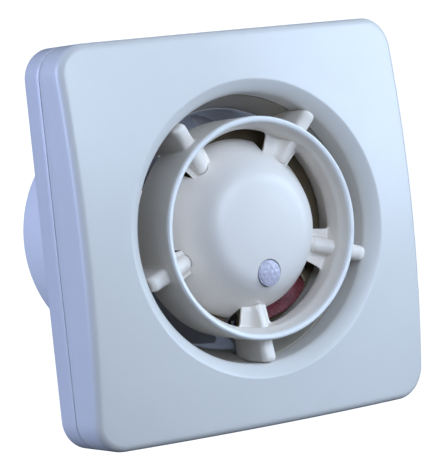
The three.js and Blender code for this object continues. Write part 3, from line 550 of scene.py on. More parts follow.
# ---- front cover
def cover_section(station):
    """Throat, lip, face and side of the cover, and back along its inside."""
    points, on_circle, on_outline = section_tools(station)
    out = outline_point(station, 0).normalized()
    lip_face = face_y(LIP_R, 0)
    on_circle(THROAT_R + 0.25, THROAT_BACK)
    on_circle(THROAT_R, THROAT_BACK - 0.25)
    on_circle(THROAT_R, (THROAT_BACK + LIP_START) / 2)
    flare = [(THROAT_R + (LIP_R - THROAT_R) * t * t, LIP_START + (lip_face - LIP_START) * t)
             for t in (k / 24 for k in range(24))]
    flare = [(r, y) for r, y in flare if math.hypot(LIP_R - r, lip_face - y) > LIP_SOFT]
    outside = (LIP_R + LIP_SOFT, face_y(LIP_R + LIP_SOFT, 0))
    for r, y in flare + bezier(flare[-1], (LIP_R, lip_face), (LIP_R, lip_face), outside, 8)[1:]:
        on_circle(r, y)
    start = out * (LIP_R + LIP_SOFT)
    end = outline_point(station, EDGE)
    for i in range(15):
        p = start.lerp(end, i / 14)
        points.append((p.x, face_y(p.x, p.y), p.y))
    for i in range(1, 10):
        angle = math.pi / 2 * (1 - i / 9)
        p = outline_point(station, EDGE * (1 - math.cos(angle)))
        points.append((p.x, face_y(p.x, p.y) + EDGE * (1 - math.sin(angle)), p.y))
    top = points[-1][1]
    for i in range(1, 5):
        on_outline(0, top + (COVER_BACK - 0.3 - top) * i / 4)
    for inset, edge in ((0.08, 0.1), (0.3, 0), (SKIN - 0.2, 0), (SKIN, 0.2)):
        on_outline(inset, COVER_BACK - edge)
    inside = outline_point(station, SKIN)
    on_outline(SKIN, face_y(inside.x, inside.y) + EDGE + SKIN / 2)
    shoulder = outline_point(station, EDGE + SKIN / 2)
    on_outline(EDGE + SKIN / 2, face_y(shoulder.x, shoulder.y) + SKIN)
    for t in (0.75, 0.5, 0.25):
        p = start.lerp(end, t)
        points.append((p.x, face_y(p.x, p.y) + SKIN, p.y))
    on_circle(LIP_R, lip_face + SKIN)
    on_circle(LIP_R - 2, lip_face + SKIN + 0.6)
    on_circle(THROAT_R + SKIN, LIP_START - 1.8)
    on_circle(THROAT_R + SKIN, THROAT_BACK)
    return points


def add_box(bm, low, high, bevel, angle=0.0):
    """Box with soft edges, in millimetres, turned about the Y axis by an angle in degrees."""
    turn = Matrix.Rotation(-math.radians(angle), 4, "Y")
    made = bmesh.ops.create_cube(bm, size=1.0)["verts"]
    for vert in made:
        vert.co = Vector([(low[k] + (vert.co[k] + 0.5) * (high[k] - low[k])) * MM for k in range(3)])
    edges = list({edge for vert in made for edge in vert.link_edges})
    grown = bmesh.ops.bevel(bm, geom=edges, offset=bevel * MM, segments=2, affect="EDGES")
    kept = {vert for vert in made if vert.is_valid}
    for vert in {vert for face in grown["faces"] for vert in face.verts} | kept:
        vert.co = turn @ vert.co


TAB_INSET = 5
TAB_THICK = 1.7
TAB_HALF = 7
GUSSET_HALF = 0.6


def front_cover():
    """Cover shell with its four friction tabs, their gussets and the gussets of the throat."""
    bm = bmesh.new()
    add_station_loft(bm, cover_section)
    reach = HALF - TAB_INSET
    top = face_y(0, reach) + SKIN / 2
    for angle in (0, 90, 180, 270):
        add_box(bm, (reach - TAB_THICK, top, -TAB_HALF), (reach, COVER_BACK + 0.9, TAB_HALF), 0.3, angle)
        for z in (-5.2, 5.2):
            low = (reach - 4.2, top, z - GUSSET_HALF)
            add_box(bm, low, (reach - 1.6, COVER_BACK - 6, z + GUSSET_HALF), 0.2, angle)
    throat = THROAT_R + SKIN
    for i in range(8):
        low = (throat - 0.3, -31.4, -GUSSET_HALF)
        add_box(bm, low, (throat + 4.5, -22.2, GUSSET_HALF), 0.2, i * 45 + 22.5)
    cover = new_object("cover_shell", bm, COVER_WHITE, COVER)
    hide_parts("front_cover")


# ---- rear housing
def housing_section(station):
    """Stub, floor, locating lip, wall, wall plate and spigot of the housing."""
    points, on_circle, on_outline = section_tools(station)
    lip_out = SKIN + 0.4
    lip_in = lip_out + 1.8
    lip_front = HOUSING_FRONT - 4.2
    on_circle(SPIGOT_BORE, STUB_FRONT + 0.3)
    on_circle(SPIGOT_BORE + 0.3, STUB_FRONT)
    on_circle(SPIGOT_R - 0.3, STUB_FRONT)
    on_circle(SPIGOT_R, STUB_FRONT + 0.3)
    for step, y in ((0, -3.3), (0.25, -2.75), (0.8, -2.5)):
        on_circle(SPIGOT_R + step, y)
    for inset, y in ((lip_in + 0.7, -2.5), (lip_in + 0.2, -2.7), (lip_in, -3.2), (lip_in, lip_front + 0.3),
                     (lip_in - 0.4, lip_front), (SKIN + 0.9, lip_front), (lip_out, lip_front + 0.6),
                     (lip_out, HOUSING_FRONT), (0.35, HOUSING_FRONT), (0.1, HOUSING_FRONT + 0.1),
                     (0, HOUSING_FRONT + 0.35)):
        on_outline(inset, y)
    for i in range(1, 5):
        on_outline(0, HOUSING_FRONT + 0.35 + (-1.15 - HOUSING_FRONT) * i / 4)
    for inward, onward in QUARTER:
        on_outline(0.8 * inward, -0.8 + 0.8 * onward)
    on_circle(SPIGOT_R + 1, 0)
    on_circle(SPIGOT_R + 0.3, 0.3)
    on_circle(SPIGOT_R, 1)
    for i in range(1, 9):
        on_circle(SPIGOT_R, 1 + (SPIGOT_END - 3 - 1) * i / 8)
    for inward, onward in QUARTER:
        on_circle(SPIGOT_R - 1.2 * inward, SPIGOT_END - 3 + 3 * onward)
    on_circle(SPIGOT_BORE + 0.3, SPIGOT_END)
    on_circle(SPIGOT_BORE, SPIGOT_END - 0.3)
    for i in range(1, 8):
        on_circle(SPIGOT_BORE, SPIGOT_END - 0.3 + (STUB_FRONT + 0.6 - SPIGOT_END) * i / 8)
    return points


WALL_SLOTS = ((66, 28), (-66, 28), (66, -28), (-66, -12))
GLAND_R = 7.2
SPIGOT_LIT_FROM = 1.0              # depth behind which the spigot takes a lighter copy of the housing white, painted light
PAD_SECTION = ((4.1, 6.3, -2.4), (4.1, 6.3, -3.1), (3.9, 6.1, -3.3), (2.55, 4.75, -3.3), (2.35, 4.55, -3.1),
               (2.35, 4.55, -2.4))
BOARD_POSTS = ((-44, -66), (48, -68))
CLAMP_POSTS = ((-69, -50), (-55, -50))
CORNERS = ((1, 1), (-1, 1), (-1, -1), (1, -1))


def slot_outline(x, z, half_width, half_length):
    """Upright slot with round ends, as (x, z) points."""
    straight = half_length - half_width
    points = []
    for start, end_z in ((0, z + straight), (math.pi, z - straight)):
        for i in range(33):
            angle = start + math.pi * i / 32
            points.append((x + half_width * math.cos(angle), end_z + half_width * math.sin(angle)))
    return points


def add_post(bm, x, z, outer, inner, front):
    """Hollow screw post standing on the housing's floor, with a foot that flares out."""
    outline = rounded([
        (inner, front, 0.2), (outer, front, 0.3), (outer + 0.15, -4.2, 0), (outer + 0.5, -3, 0.4),
        (outer + 1.6, -2.3, 0), (inner, -1.6, 0),
    ], 3)
    add_lathe(bm, outline, 40, (x, z))


def rear_housing():
    """Housing tray with its spigot, the posts on its floor and the pads round the wall slots."""
    bm = bmesh.new()
    add_station_loft(bm, housing_section)
    shell = new_object("housing_shell", bm, HOUSING_WHITE, None)
    # Faces behind that depth take the lighter spigot white: painted light.
    shell.data.materials.append(SPIGOT_LIT_WHITE)
    for face in shell.data.polygons:
        if face.center.y > SPIGOT_LIT_FROM * MM:
            face.material_index = 1
    for x, z in WALL_SLOTS:
        cut_away(shell, slot_outline(x, z, 2.3, 4.5), -4, 2)
    cut_away(shell, circle(GLAND_X, GLAND_Z, GLAND_R), -4, 2)
    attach(shell, FIXED)
    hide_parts("rear_housing")
    bm = bmesh.new()
    for sx, sz in CORNERS:
        add_post(bm, sx * POST_XZ, sz * POST_XZ, 4, 1.8, -14.7)
        post = Vector((sx * POST_XZ, sz * POST_XZ))
        for toward in (Vector((sx, 0)), Vector((0, sz))):
            start, end = post + toward * 3.6, post + toward * 12
            half = Vector((abs(toward.y), abs(toward.x))) * 0.8
            low = (min(start.x, end.x) - half.x, -11, min(start.y, end.y) - half.y)
            high = (max(start.x, end.x) + half.x, -2.2, max(start.y, end.y) + half.y)
            add_box(bm, low, high, 0.25)
    for x, z in BOARD_POSTS:
        add_post(bm, x, z, 2.6, 1.4, -6.1)
    for x, z in CLAMP_POSTS:
        add_post(bm, x, z, 2.6, 1.4, -6.6)
    posts = new_object("housing_posts", bm, HOUSING_WHITE, FIXED)
    bm = bmesh.new()
    for x, z in WALL_SLOTS:
        rows = []
        for half_width, half_length, y in PAD_SECTION:
            rows.append([(a, y, b) for a, b in slot_outline(x, z, half_width, half_length)])
        add_grid(bm, rows, wrap_rows=True)
    pads = new_object("wall_slot_pads", bm, HOUSING_WHITE, FIXED)


# ---- motor carrier
def crest_y(r):
    """Depth of a rib's crest, which leans forward outward."""
    return -(RIB_TIP_DEPTH + RIB_SLOPE * (r - RIB_TIP_R))


CREST_HALF = 3.0
SWEPT_HALF = 1.3
CREST_DROP = 2.0
SWEPT_DROP = 0.7
CREST_ROUND = 0.9
ROUND_FALL = 0.684               # fall of that roundness at the crest's edge
WIDE_FOOT = 1.9
STEEP_FOOT = 0.28
SWEPT_CURVE = 0.08
RIB_SPAN = 30                    # degrees that a rib's feet can reach to each side


def rib_front(across, r, spread):
    """Front of a rib and its swept foot, at a distance across the rib."""
    crest = crest_y(r)
    sweep = (spread - STEEP_FOOT) / (WIDE_FOOT - STEEP_FOOT)
    half = CREST_HALF + (SWEPT_HALF - CREST_HALF) * sweep
    drop = CREST_DROP + (SWEPT_DROP - CREST_DROP) * sweep
    if across < half:
        return crest + drop * (1 - math.sqrt(1 - CREST_ROUND * (across / half) ** 2)) / ROUND_FALL
    fall = min(0.0, crest + drop - FLOOR)
    return FLOOR + fall * math.exp(-((across - half) / spread) ** (1 - SWEPT_CURVE * sweep))


def ribs_front(angle, r):
    """Frontmost rib surface at an angle in degrees and a radius; the inner ends are round."""
    front = FLOOR
    tip_centre = RIB_TIP_R + CREST_HALF
    for rib in RIB_ANGLES:
        gap = (angle - rib + 180) % 360 - 180
        if abs(gap) < RIB_SPAN:
            t = 2 * r * math.sin(math.radians(gap) / 2)
            spread = WIDE_FOOT if (rib, t > 0) in SWEPT_FLANKS else STEEP_FOOT
            short = max(0.0, tip_centre - r)
            if short > 0:
                spread = STEEP_FOOT + (spread - STEEP_FOOT) * max(0.0, 1 - short / CREST_HALF)
            front = min(front, rib_front(math.hypot(t, short), r, spread))
    return front


def soft_min(a, b, blend):
    """Smaller of two depths, rounded where they cross."""
    h = max(blend - abs(a - b), 0) / blend
    return min(a, b) - h * h * blend / 4


RIM_FOOT = (39.95, -33.5)
RIB_REACH = 39.9                 # radius inside which the ribs show in the cup
RIB_BLEND = 1.0
RIM_HIGHLIGHT_DEPTH = -36.0               # the rim's lighter white, a painted highlight, is on faces in front of this
RIM_HIGHLIGHT_FACING = -0.35               # and turned forward by at least this
SLOT_DEPTHS = (-26.6, -21)
THIN_DEPTHS = (-24.6, -21)
THIN_GROW = 1.3


def cup_front_outline():
    """(radius, y) up the cup's outside and round its rim, then down its wall and across its floor."""
    front = RIM_FRONT + 0.1
    rim = smooth_curve([(42.8, CUP_BACK), (43.1, -23), (43.45, -33.4), (43.5, -35.1), (43.35, -36.4),
                        (42.8, front), (42.1, front), (41.4, -36.8), (40.9, -36), RIM_FOOT], 6)
    wall = smooth_curve([RIM_FOOT, (39.1, -31.4), (38.85, -29), (38.75, -27)], 8)[1:]
    foot = bezier((38.75, -26.9), (38.7, -25.7), (38.2, -25.25), (37.2, FLOOR), 8)
    floor = [(37.2 - 0.4 * k, FLOOR) for k in range(28)]
    return rim, wall + foot + floor


def lead_notch(inner, outer):
    """Outline that clears the leads' way below the axis."""
    return [(-NOTCH_HALF, -outer), (NOTCH_HALF, -outer), (NOTCH_HALF, -inner), (-NOTCH_HALF, -inner)]


def motor_cup():
    """Cup with its rim and slotted floor, and the part of each rib that runs across the floor."""
    rim, inside = cup_front_outline()
    back = [(10, FLOOR), (9.7, FLOOR + 0.3), (9.7, FLOOR + 1.7), (10, FLOOR + 2), (24, FLOOR + 2),
            (40.9, FLOOR + 2), (41.4, FLOOR + 2.5), (41.2, CUP_BACK)]
    outline = rim + inside + back
    first, last = len(rim), len(rim) + len(inside)
    sides = 540
    rows = []
    for i in range(sides):
        degrees = 360 * i / sides
        row = []
        for k, (r, y) in enumerate(outline):
            if first <= k < last and r < RIB_REACH:
                raised = ribs_front(degrees, r)
                y = soft_min(y, raised, RIB_BLEND) if raised < FLOOR - 0.02 else y
            row.append(around(r, y, math.radians(degrees)))
        rows.append(row)
    bm = bmesh.new()
    add_grid(bm, rows, wrap_rows=True)
    cup = new_object("motor_cup", bm, INNER_WHITE, None)
    # Forward-facing rim faces take the lighter white, a painted highlight.
    cup.data.materials.append(RIM_HIGHLIGHT_WHITE)
    for face in cup.data.polygons:
        if face.center.y < RIM_HIGHLIGHT_DEPTH * MM and face.normal.y < RIM_HIGHLIGHT_FACING:
            face.material_index = 1
    for start, end in SLOTS:
        cut_away(cup, slot_sector(start, end), *SLOT_DEPTHS)
        cut_away(cup, slot_sector(start, end, THIN_GROW), *THIN_DEPTHS)
    cut_away(cup, lead_notch(38, 46), -13.6, -10)
    return cup


def slot_sector(start, end, grow=0.0):
    """Cooling slot between two angles in degrees, which can grow outward and past its ends."""
    steps = 30
    a, b = math.radians(start - 2 * grow), math.radians(end + 2 * grow)

    def at(r, angle):
        return r * math.cos(angle), r * math.sin(angle)

    def arc(r, first, last):
        return [at(r, first + (last - first) * i / steps) for i in range(steps + 1)]

    def corner(r, angle, near, far):
        return bezier(near, at(r, angle), at(r, angle), far, 6)[1:]

    edge = SLOT_OUTER + grow
    wide, narrow = SLOT_CORNER / edge, SLOT_CORNER / SLOT_INNER
    outer = arc(edge, a + wide, b - wide)
    inner = arc(SLOT_INNER, b - narrow, a + narrow)
    ends = [at(edge - SLOT_CORNER, b), at(SLOT_INNER + SLOT_CORNER, b),
            at(SLOT_INNER + SLOT_CORNER, a), at(edge - SLOT_CORNER, a)]
    outer += corner(edge, b, outer[-1], ends[0]) + ends[:2] + corner(SLOT_INNER, b, ends[1], inner[0])
    inner += corner(SLOT_INNER, a, inner[-1], ends[2]) + ends[2:] + corner(edge, a, ends[3], outer[0])
    return outer + inner


def add_rib_web(bm, rib):
    """Web between the cup and the duct ring: filleted into the cup, with a round outer end."""
    inner, outer = 42.4, 52.3
    back = -13.4 if rib == CABLE_RIB else RIB_BACK
    base = rounded([(-3.4, back, 0.4), (3.4, back, 0.4), (3.1, RIB_CREST, 2.9), (-3.1, RIB_CREST, 2.9)], 10)
    turn = math.radians(rib)
    out = Vector((math.cos(turn), 0, math.sin(turn)))
    along = Vector((-out.z, 0, out.x))
    fillet, tip = 0.9, 2.2
    rows = []
    for k in range(33):
        r = inner + (outer - inner) * (0.5 - 0.5 * math.cos(math.pi * k / 32))
        near = min(fillet, max(0.0, fillet - (r - 43.2)))
        swell = fillet - math.sqrt(fillet ** 2 - near ** 2)
        ending = max(0.0, (r - outer + tip) / tip)
        narrowing = 0.62 + 0.38 * math.sqrt(max(0.0, 1 - ending ** 2))
        lean = (-crest_y(r) + RIB_BACK) / (RIB_BACK - RIB_CREST)
        row = []
        for side, y in base:
            wide = (side + math.copysign(swell, side)) * narrowing
            front = RIB_BACK + (y - RIB_BACK) * lean if y < RIB_BACK else y
            if y < RIB_CREST + 3:
                front += 1.8 * (1 - math.sqrt(max(0.0, 1 - ending ** 2))) - swell * 0.6
            row.append(tuple(out * r + along * wide + Vector((0, front, 0))))
        rows.append(row)
    verts = add_grid(bm, rows)
    bm.faces.new(verts[0])
    bm.faces.new(verts[-1])


def motor_carrier():
    """Cup, rib webs, inner duct ring, fixing arms and bosses."""
    cup = motor_cup()
    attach(cup, FIXED)
    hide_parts("motor_carrier")

    bm = bmesh.new()
    for rib in RIB_ANGLES:
        add_rib_web(bm, rib)
    webs = new_object("carrier_ribs", bm, INNER_WHITE, FIXED)

    inner = smooth_curve([(52.0, -19.3), (50.3, -14.5), (48.5, -10.5), (47.9, -8.6)], 6)
    outer = smooth_curve([(50.2, -8.6), (50.6, -10), (52.6, -14.5), (54.4, -19.3)], 5)
    # The duct ring wears the darkened white: painted shade.
    ring = lathe("duct_ring", inner + outer + [(54.1, -19.6), (52.3, -19.6)], DUCT_SHADED_WHITE, None, sides=192)
    cut_away(ring, lead_notch(46, 57), -13.4, -5)
    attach(ring, FIXED)

    for number, angle in enumerate((45, 135, 225, 315), 1):
        arm = carrier_arm(f"carrier_arm_{number}", angle)
    motor_bosses()


ARM_ROOT = 53.2
ARM_END = 91.0
ARM_HALF = 5.5
ARM_NOSE = 4


def carrier_arm(name, angle):
    """Flat arm from the duct ring to a corner post, with raised edges and a screw hole."""
    hole = POST_XZ * math.sqrt(2)
    shoulder = ARM_END - ARM_NOSE
    outline = [(ARM_ROOT, -ARM_HALF), (shoulder, -ARM_HALF), (ARM_END, -2), (ARM_END, 2),
               (shoulder, ARM_HALF), (ARM_ROOT, ARM_HALF)]
    turn = Matrix.Rotation(math.radians(angle), 2)
    flat = [tuple(turn @ Vector(p)) for p in outline]
    arm = prism(name, flat, -17, -15)
    x, z = turn @ Vector((hole, 0))
    cut_away(arm, circle(x, z, 2, 32), -20, -10)
    bm = bmesh.new()
    bm.from_mesh(arm.data)
    for side in (-1, 1):
        add_box(bm, (53, -20.5, side * 4.6 - 0.7), (79, -16.8, side * 4.6 + 0.7), 0.3, angle)
    bm.to_mesh(arm.data)
    bm.free()
    arm.data.materials.clear()
    arm.data.materials.append(INNER_WHITE)
    soften(arm)
    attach(arm, FIXED)
    return arm


def coil_place(u, v):
    """(x, z) of a point u along and v across the coil's direction."""
    a = math.radians(COIL_ANGLE)
    return u * math.cos(a) - v * math.sin(a), u * math.sin(a) + v * math.cos(a)


def motor_bosses():
    """Screw bosses behind the cup's floor and the pegs of the sensor board in front of it."""
    bm = bmesh.new()
    boss = rounded([(1.8, -24.4, 0), (4, -24.4, 0), (4, -19.5, 0.3), (1.8, -19.5, 0.2)], 3)
    peg = rounded([(0.01, -29.2, 0), (1.3, -29.2, 0.2), (1.5, -24.6, 0), (0.01, -24.6, 0)], 3)
    for v in (17, -17):
        add_lathe(bm, boss, 40, coil_place(0, v))
    for x in (-6.2, 6.2):
        add_lathe(bm, peg, 24, (x, LENS_Z))
    return new_object("carrier_bosses", bm, INNER_WHITE, FIXED)


# ---- dome cap
DOME_THICK = 1.6
DOME_FALL = ((0, 0), (9.5, 0.2), (15, 0.62), (18.6, 1.05), (21.4, 1.95), (24, 3.7), (26.2, 6.1), (28, 8.7),
             (30.1, 12), (32, 15.3), (34.3, 19))
DOME_SHAPE = [(r, DOME_FRONT + fall) for r, fall in DOME_FALL] + [(DOME_BASE_R, DOME_BACK)]
DOME_FREE = 30                   # first sample of the dome's curve that a rib could meet
NOTCH_GAP = 0.4


def in_slot(degrees, start, end, play=0.5):
    """Whether an angle lies between a slot's ends, clear of them by some play."""
    return play < (degrees - start) % 360 < end - start - play


def dome_edge(curve, degrees):
    """How far out along the dome's curve the cap reaches at an angle, as a fractional index."""
    open_below = any(in_slot(degrees, *slot) for slot in SLOTS)
    deepest = COIL_FRONT - NOTCH_GAP if in_slot(degrees, *COIL_SLOT, play=-2) else DOME_BACK
    floor = deepest if open_below else FLOOR - NOTCH_GAP
    for k in range(DOME_FREE, len(curve)):
        r, y = curve[k]
        front = ribs_front(degrees, r)
        limit = floor if open_below and front > FLOOR - 0.5 else min(floor, front - NOTCH_GAP)
        if y > limit:
            return k - (y - limit) / max(y - curve[k - 1][1], 1e-6)
    return len(curve) - 1


def dome_cap():
    """Domed cap whose edge follows the ribs, the floor and the slots."""
    curve = smooth_curve(DOME_SHAPE, 12)
    sides = 720
    reach = [dome_edge(curve, 360 * i / sides) for i in range(sides)]
    for _ in range(2):
        reach = [(reach[i - 1] + 2 * reach[i] + reach[(i + 1) % sides]) / 4 for i in range(sides)]
    rows = []
    steps = 64
    for i in range(sides):
        angle = TURN * i / sides
        outer, normals = [], []
        for k in range(steps + 1):
            place = reach[i] * (k / steps)
            base = min(int(place), len(curve) - 2)
            a, b = Vector(curve[base]), Vector(curve[base + 1])
            p = a.lerp(b, place - base)
            along = (b - a).normalized()
            outer.append(p)
            normals.append((Vector((-along.y, along.x)) if along.x else Vector((1, 0)), along))
        row = [around(max(p.x, 0.0), p.y, angle) for p in outer]
        (n, t), tip = normals[-1], outer[-1]
        for inward, beyond in ((0.15, 0.16), (0.5, 0.26), (DOME_THICK - 0.4, 0.22)):
            p = tip + n * inward + t * beyond
            row.append(around(p.x, p.y, angle))
        for k in range(steps, -1, -4):
            p = outer[k] + normals[k][0] * DOME_THICK
            row.append(around(max(p.x, 0.0), p.y, angle))
        rows.append(row)
    bm = bmesh.new()
    add_grid(bm, rows, wrap_rows=True, wrap_columns=False)
    bmesh.ops.remove_doubles(bm, verts=bm.verts, dist=2e-6)
    bmesh.ops.dissolve_degenerate(bm, edges=bm.edges, dist=1e-6)
    cap = new_object("dome_shell", bm, DOME_WHITE, None)
    cut_away(cap, circle(0, LENS_Z, LENS_HOLE_R, 72), DOME_FRONT - 4, DOME_FRONT + 7)
    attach(cap, FIXED)
    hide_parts("dome_cap")


# ---- sensor lens
def lens_height(x, z):
    """Depth of the lens face: a shallow dome carrying a honeycomb of small bulging facets."""
    pitch = 2.5
    row = round(z / (pitch * 0.866))
    best = 9.0
    for r in (row - 1, row, row + 1):
        shift = 0.5 if r % 2 else 0.0
        column = round(x / pitch - shift)
        for c in (column - 1, column, column + 1):
            best = min(best, math.hypot(x - (c + shift) * pitch, z - r * pitch * 0.866))
    r = math.hypot(x, z) / LENS_R
    return -1.6 * math.sqrt(max(0.0, 1 - 0.72 * r * r)) + 0.16 * (best / (pitch * 0.577)) ** 2


LENS_BACK_ROWS = ((LENS_R, lens_high[1]), (LENS_R - 0.7, lens_high[1]), (LENS_R - 0.7, -36.6), (0.0, -37.4))


def sensor_lens():
    """Faceted lens and the dark well that it sits in."""
    rows = []
    sides, steps = 96, 26
    front = lens_low[1] + 1.7
    for k in range(steps + 1):
        r = LENS_R * k / steps
        ring = []
        for i in range(sides):
            x, _, z = around(r, 0, TURN * i / sides)
            y = front + lens_height(x, z) if k < steps - 2 else front - 0.75
            ring.append((x, max(y, lens_low[1] + 0.02), z + LENS_Z))
        rows.append(ring)
    for r, y in LENS_BACK_ROWS:
        ring = [around(r, y, TURN * i / sides) for i in range(sides)]
        rows.append([(x, y, z + LENS_Z) for x, y, z in ring])
    bm = bmesh.new()
    add_grid(bm, rows)
    bmesh.ops.remove_doubles(bm, verts=bm.verts, dist=1e-6)
    bmesh.ops.dissolve_degenerate(bm, edges=bm.edges, dist=1e-6)
    lens = new_object("sensor_lens", bm, LENS, FIXED, smooth_angle=50)
    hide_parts("pir_lens")
    inner, outer = LENS_HOLE_R - 0.25, LENS_HOLE_R + 0.9
    well = rounded([(inner, -35.4, 0), (outer, -34.2, 0.1), (outer, -33, 0), (inner, -33, 0.1)], 2)
    holder = lathe("lens_well", well, BLACK_RUBBER, FIXED, sides=72, centre=(0, LENS_Z))


# ---- impeller
def blade_rows(turn):
    """Sections of a twisted, cambered blade from inside the hub to the tip."""
    rows = []
    root, count = HUB_R - 0.8, 22
    for s in range(count + 1):
        t = s / count
        r = root + (TIP_R - root) * t
        chord = 22 + 13 * t
        pitch = math.radians(44 - 18 * t)
        sweep = math.radians(9 * t * t)
        tip = max(0.0, (t - 0.93) / 0.07)
        chord *= 1 - 0.10 * tip ** 2
        row = []
        for k in range(48):
            a = TURN * k / 48
            x = 0.5 * math.cos(a)
            half = 0.03 * math.sqrt(max(0.0, 1 - (2 * x) ** 4)) * (1.15 - 0.5 * (x + 0.5)) * (1 - 0.5 * tip)
            bow = 0.09 * (1 - (2 * x) ** 2)
            across = x * chord
            lift = (bow + math.copysign(half, math.sin(a))) * chord
            along = across * math.cos(pitch) + lift * math.sin(pitch)
            y = BLADE_Y - across * math.sin(pitch) + lift * math.cos(pitch)
            angle = along / r + sweep + turn
            row.append(around(r, y, angle))
        rows.append(row)
    return rows


def impeller():
    """Hub with the stiffening ribs behind its face, and the blades round it."""
    bm = bmesh.new()
    hub = rounded([
        (2.3, 5.6, 0), (6, 5.6, 0.4), (6.5, 7, 0.8), (17.6, 7, 1.5), (19.6, 7.6, 1.2), (HUB_R, 10, 0.8),
        (HUB_R, 21, 0.3), (18.4, 21, 0.3), (18.4, 10.2, 1.2), (17, 8.8, 0.6), (6, 8.8, 0.6), (6, 17.8, 0.4),
        (2.3, 17.8, 0),
    ], 5)
    add_lathe(bm, hub, 120)
    for i in range(8):
        add_box(bm, (5.6, 8.4, -0.6), (18.8, 16.5, 0.6), 0.2, i * 45 + 22.5)
    for i in range(BLADES):
        verts = add_grid(bm, blade_rows(math.radians(i * 360 / BLADES + BLADE_REST)))
        bm.faces.new(verts[0])
        bm.faces.new(verts[-1])
    wheel = new_object("impeller_wheel", bm, IMPELLER_GREY, SPINNING)
    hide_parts("impeller")


# ---- CAD nodes that stay: finish and softened edges
LOOKS = (
    (BOARD_GREEN, 0.12, "pir_board control_board"),
    (CAN_STEEL, 0.12, "pir_sensor"),
    (LAMINATION, 0.1, "stator_stack"),
    (LAMINATION, 0.15, "rotor"),
    # The board behind the slots is kept dark: painted shade through the slots.
    (BROWN_FIBRE_SLOT_SHADE, 0.15, "insulating_board"),
    (OLIVE_NYLON, 0.15, "coil_bobbin"),
    (COPPER, 0.3, "coil_winding"),
    (TAPE_RED, 0.35, "winding_tape"),
    (STEEL, 0.1, "motor_shaft"),
    (STEEL, 0.2, "front_bearing_bracket rear_bearing_bracket"),
    (BRONZE, 0.2, "front_bearing_bush rear_bearing_bush"),
    (STEEL, 0.15, "impeller_clip"),
    (NYLON, 0.3, "terminal_block"),
    (BLACK_PLASTIC, 0.3, "relay"),
    (YELLOW_PLASTIC, 0.5, "suppression_capacitor"),
    (CAN_SLEEVE, 0.2, "electrolytic_capacitor"),
    (BLUE_PLASTIC, 0.25, "timer_base"),
    (NYLON, 0.2, "timer_adjuster"),
    (BLACK_RUBBER, 0.5, "cable_grommet"),
    (NYLON, 0.4, "cable_clamp"),
    (LEAD_BROWN, 0, "motor_lead_1"),
    (LEAD_BLUE, 0, "motor_lead_2"),
    (LEAD_GREY, 0, "sensor_lead"),
)
SCREW_BEVEL = 0.1


def finish_nodes():
    """Material for every CAD node that stays, and a bevel in millimetres on its sharp edges."""
    looks = {name: (material, bevel) for material, bevel, names in LOOKS for name in names.split()}
    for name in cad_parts:
        if "screw" in name:
            looks[name] = (BRASS if "terminal" in name else STEEL, SCREW_BEVEL)
    for name, (material, bevel) in looks.items():
        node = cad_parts[name]
        for place in node.material_slots:
            place.material = material
        if not node.material_slots:
            node.data.materials.append(material)
        if bevel:
            merge = node.modifiers.new("merge_flats", "DECIMATE")
            merge.decimate_type = "DISSOLVE"
            merge.angle_limit = math.radians(1)
            soft = node.modifiers.new("soft_edges", "BEVEL")
            soft.width = bevel * MM
            soft.segments = 2
            soft.limit_method = "ANGLE"
            soft.angle_limit = math.radians(40)
            soft.harden_normals = True


# ---- camera, light and floor
VIEW_AZIMUTH = -32.602
VIEW_ELEVATION = 3.164
VIEW_ROLL = -6.009
VIEW_TARGET = Vector((-0.007143, -0.016, -0.000275))
VIEW_DISTANCE = 0.9882
VIEW_LENS = 196.1


def make_camera():
    azimuth, elevation = math.radians(VIEW_AZIMUTH), math.radians(VIEW_ELEVATION)
    back = Vector((math.sin(azimuth) * math.cos(elevation), -math.cos(azimuth) * math.cos(elevation),
                   math.sin(elevation)))
    right = Vector((0, 0, 1)).cross(back).normalized()
    up = back.cross(right)
    roll = math.radians(VIEW_ROLL)
    right, up = right * math.cos(roll) + up * math.sin(roll), up * math.cos(roll) - right * math.sin(roll)
    camera = in_scene("camera", bpy.data.cameras.new("camera"))
    place = VIEW_TARGET + back * VIEW_DISTANCE
    camera.matrix_world = Matrix.Translation(place) @ Matrix((right, up, back)).transposed().to_4x4()
    camera.data.lens = VIEW_LENS
    camera.data.sensor_width = 36
    camera.data.clip_start = 0.01
    bpy.context.scene.camera = camera


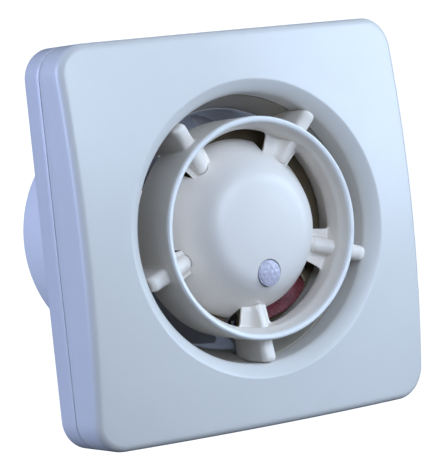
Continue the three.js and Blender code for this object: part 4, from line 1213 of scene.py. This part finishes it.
def area_light(name, place, aim, size, power, colour):
    light = bpy.data.lights.new(name, "AREA")
    light.shape = "RECTANGLE"
    light.size, light.size_y = size
    light.energy = power
    light.color = colour
    lamp = in_scene(name, light)
    lamp.location = place
    lamp.rotation_euler = (Vector(aim) - Vector(place)).to_track_quat("-Z", "Y").to_euler()


def make_light():
    world = bpy.data.worlds.new("studio")
    world.use_nodes = True
    sky = world.node_tree.nodes["Background"]
    sky.inputs["Color"].default_value = (0.60, 0.74, 1.0, 1)
    sky.inputs["Strength"].default_value = 0.10
    bpy.context.scene.world = world
    area_light("key", (0.92, -0.70, 0.28), (0, 0, 0), (0.7, 0.7), 9.0, (0.62, 0.79, 1.0))
    area_light("front", (0.0, -1.12, 0.42), (0, 0, 0), (0.7, 0.7), 9.9, (0.66, 0.79, 1.0))
    area_light("side", (-1.10, 0.55, 0.35), (0, 0.03, 0), (0.8, 0.8), 15.5, (0.49, 0.61, 1.0))


STAGE_WHITE = (0.92, 0.92, 0.92)
STAGE_SIZE = 7.0


def pale(name, colour):
    """Self-lit, almost even white."""
    s = Shader(name, colour, 0.8, Emission_Color=(1, 1, 1, 1), Emission_Strength=1.0)
    s.colour_by(s.ramp(s.noise(2.0), "Fac", ((0.3, shade(colour, 0.985)), (0.7, colour))))
    return s.material


def make_stage():
    """Floor and backdrop, which throw no light and no reflection on the part."""
    for name, place, turn in (
            ("floor", (0, 0, -0.30), (0, 0, 0)),
            ("backdrop", (1.6, 2.6, 0), (math.pi / 2, 0, math.radians(VIEW_AZIMUTH)))):
        bm = bmesh.new()
        bmesh.ops.create_grid(bm, x_segments=1, y_segments=1, size=STAGE_SIZE / 2)
        mesh = bpy.data.meshes.new(name)
        bm.to_mesh(mesh)
        bm.free()
        plane = in_scene(name, mesh)
        mesh.materials.append(pale(name + "_white", STAGE_WHITE))
        plane.location = place
        plane.rotation_euler = turn
        plane.visible_diffuse = False
        plane.visible_glossy = False


make_camera()
front_cover()
rear_housing()
motor_carrier()
dome_cap()
sensor_lens()
impeller()
finish_nodes()
make_light()
make_stage()
bpy.context.scene.view_settings.view_transform = "Standard"
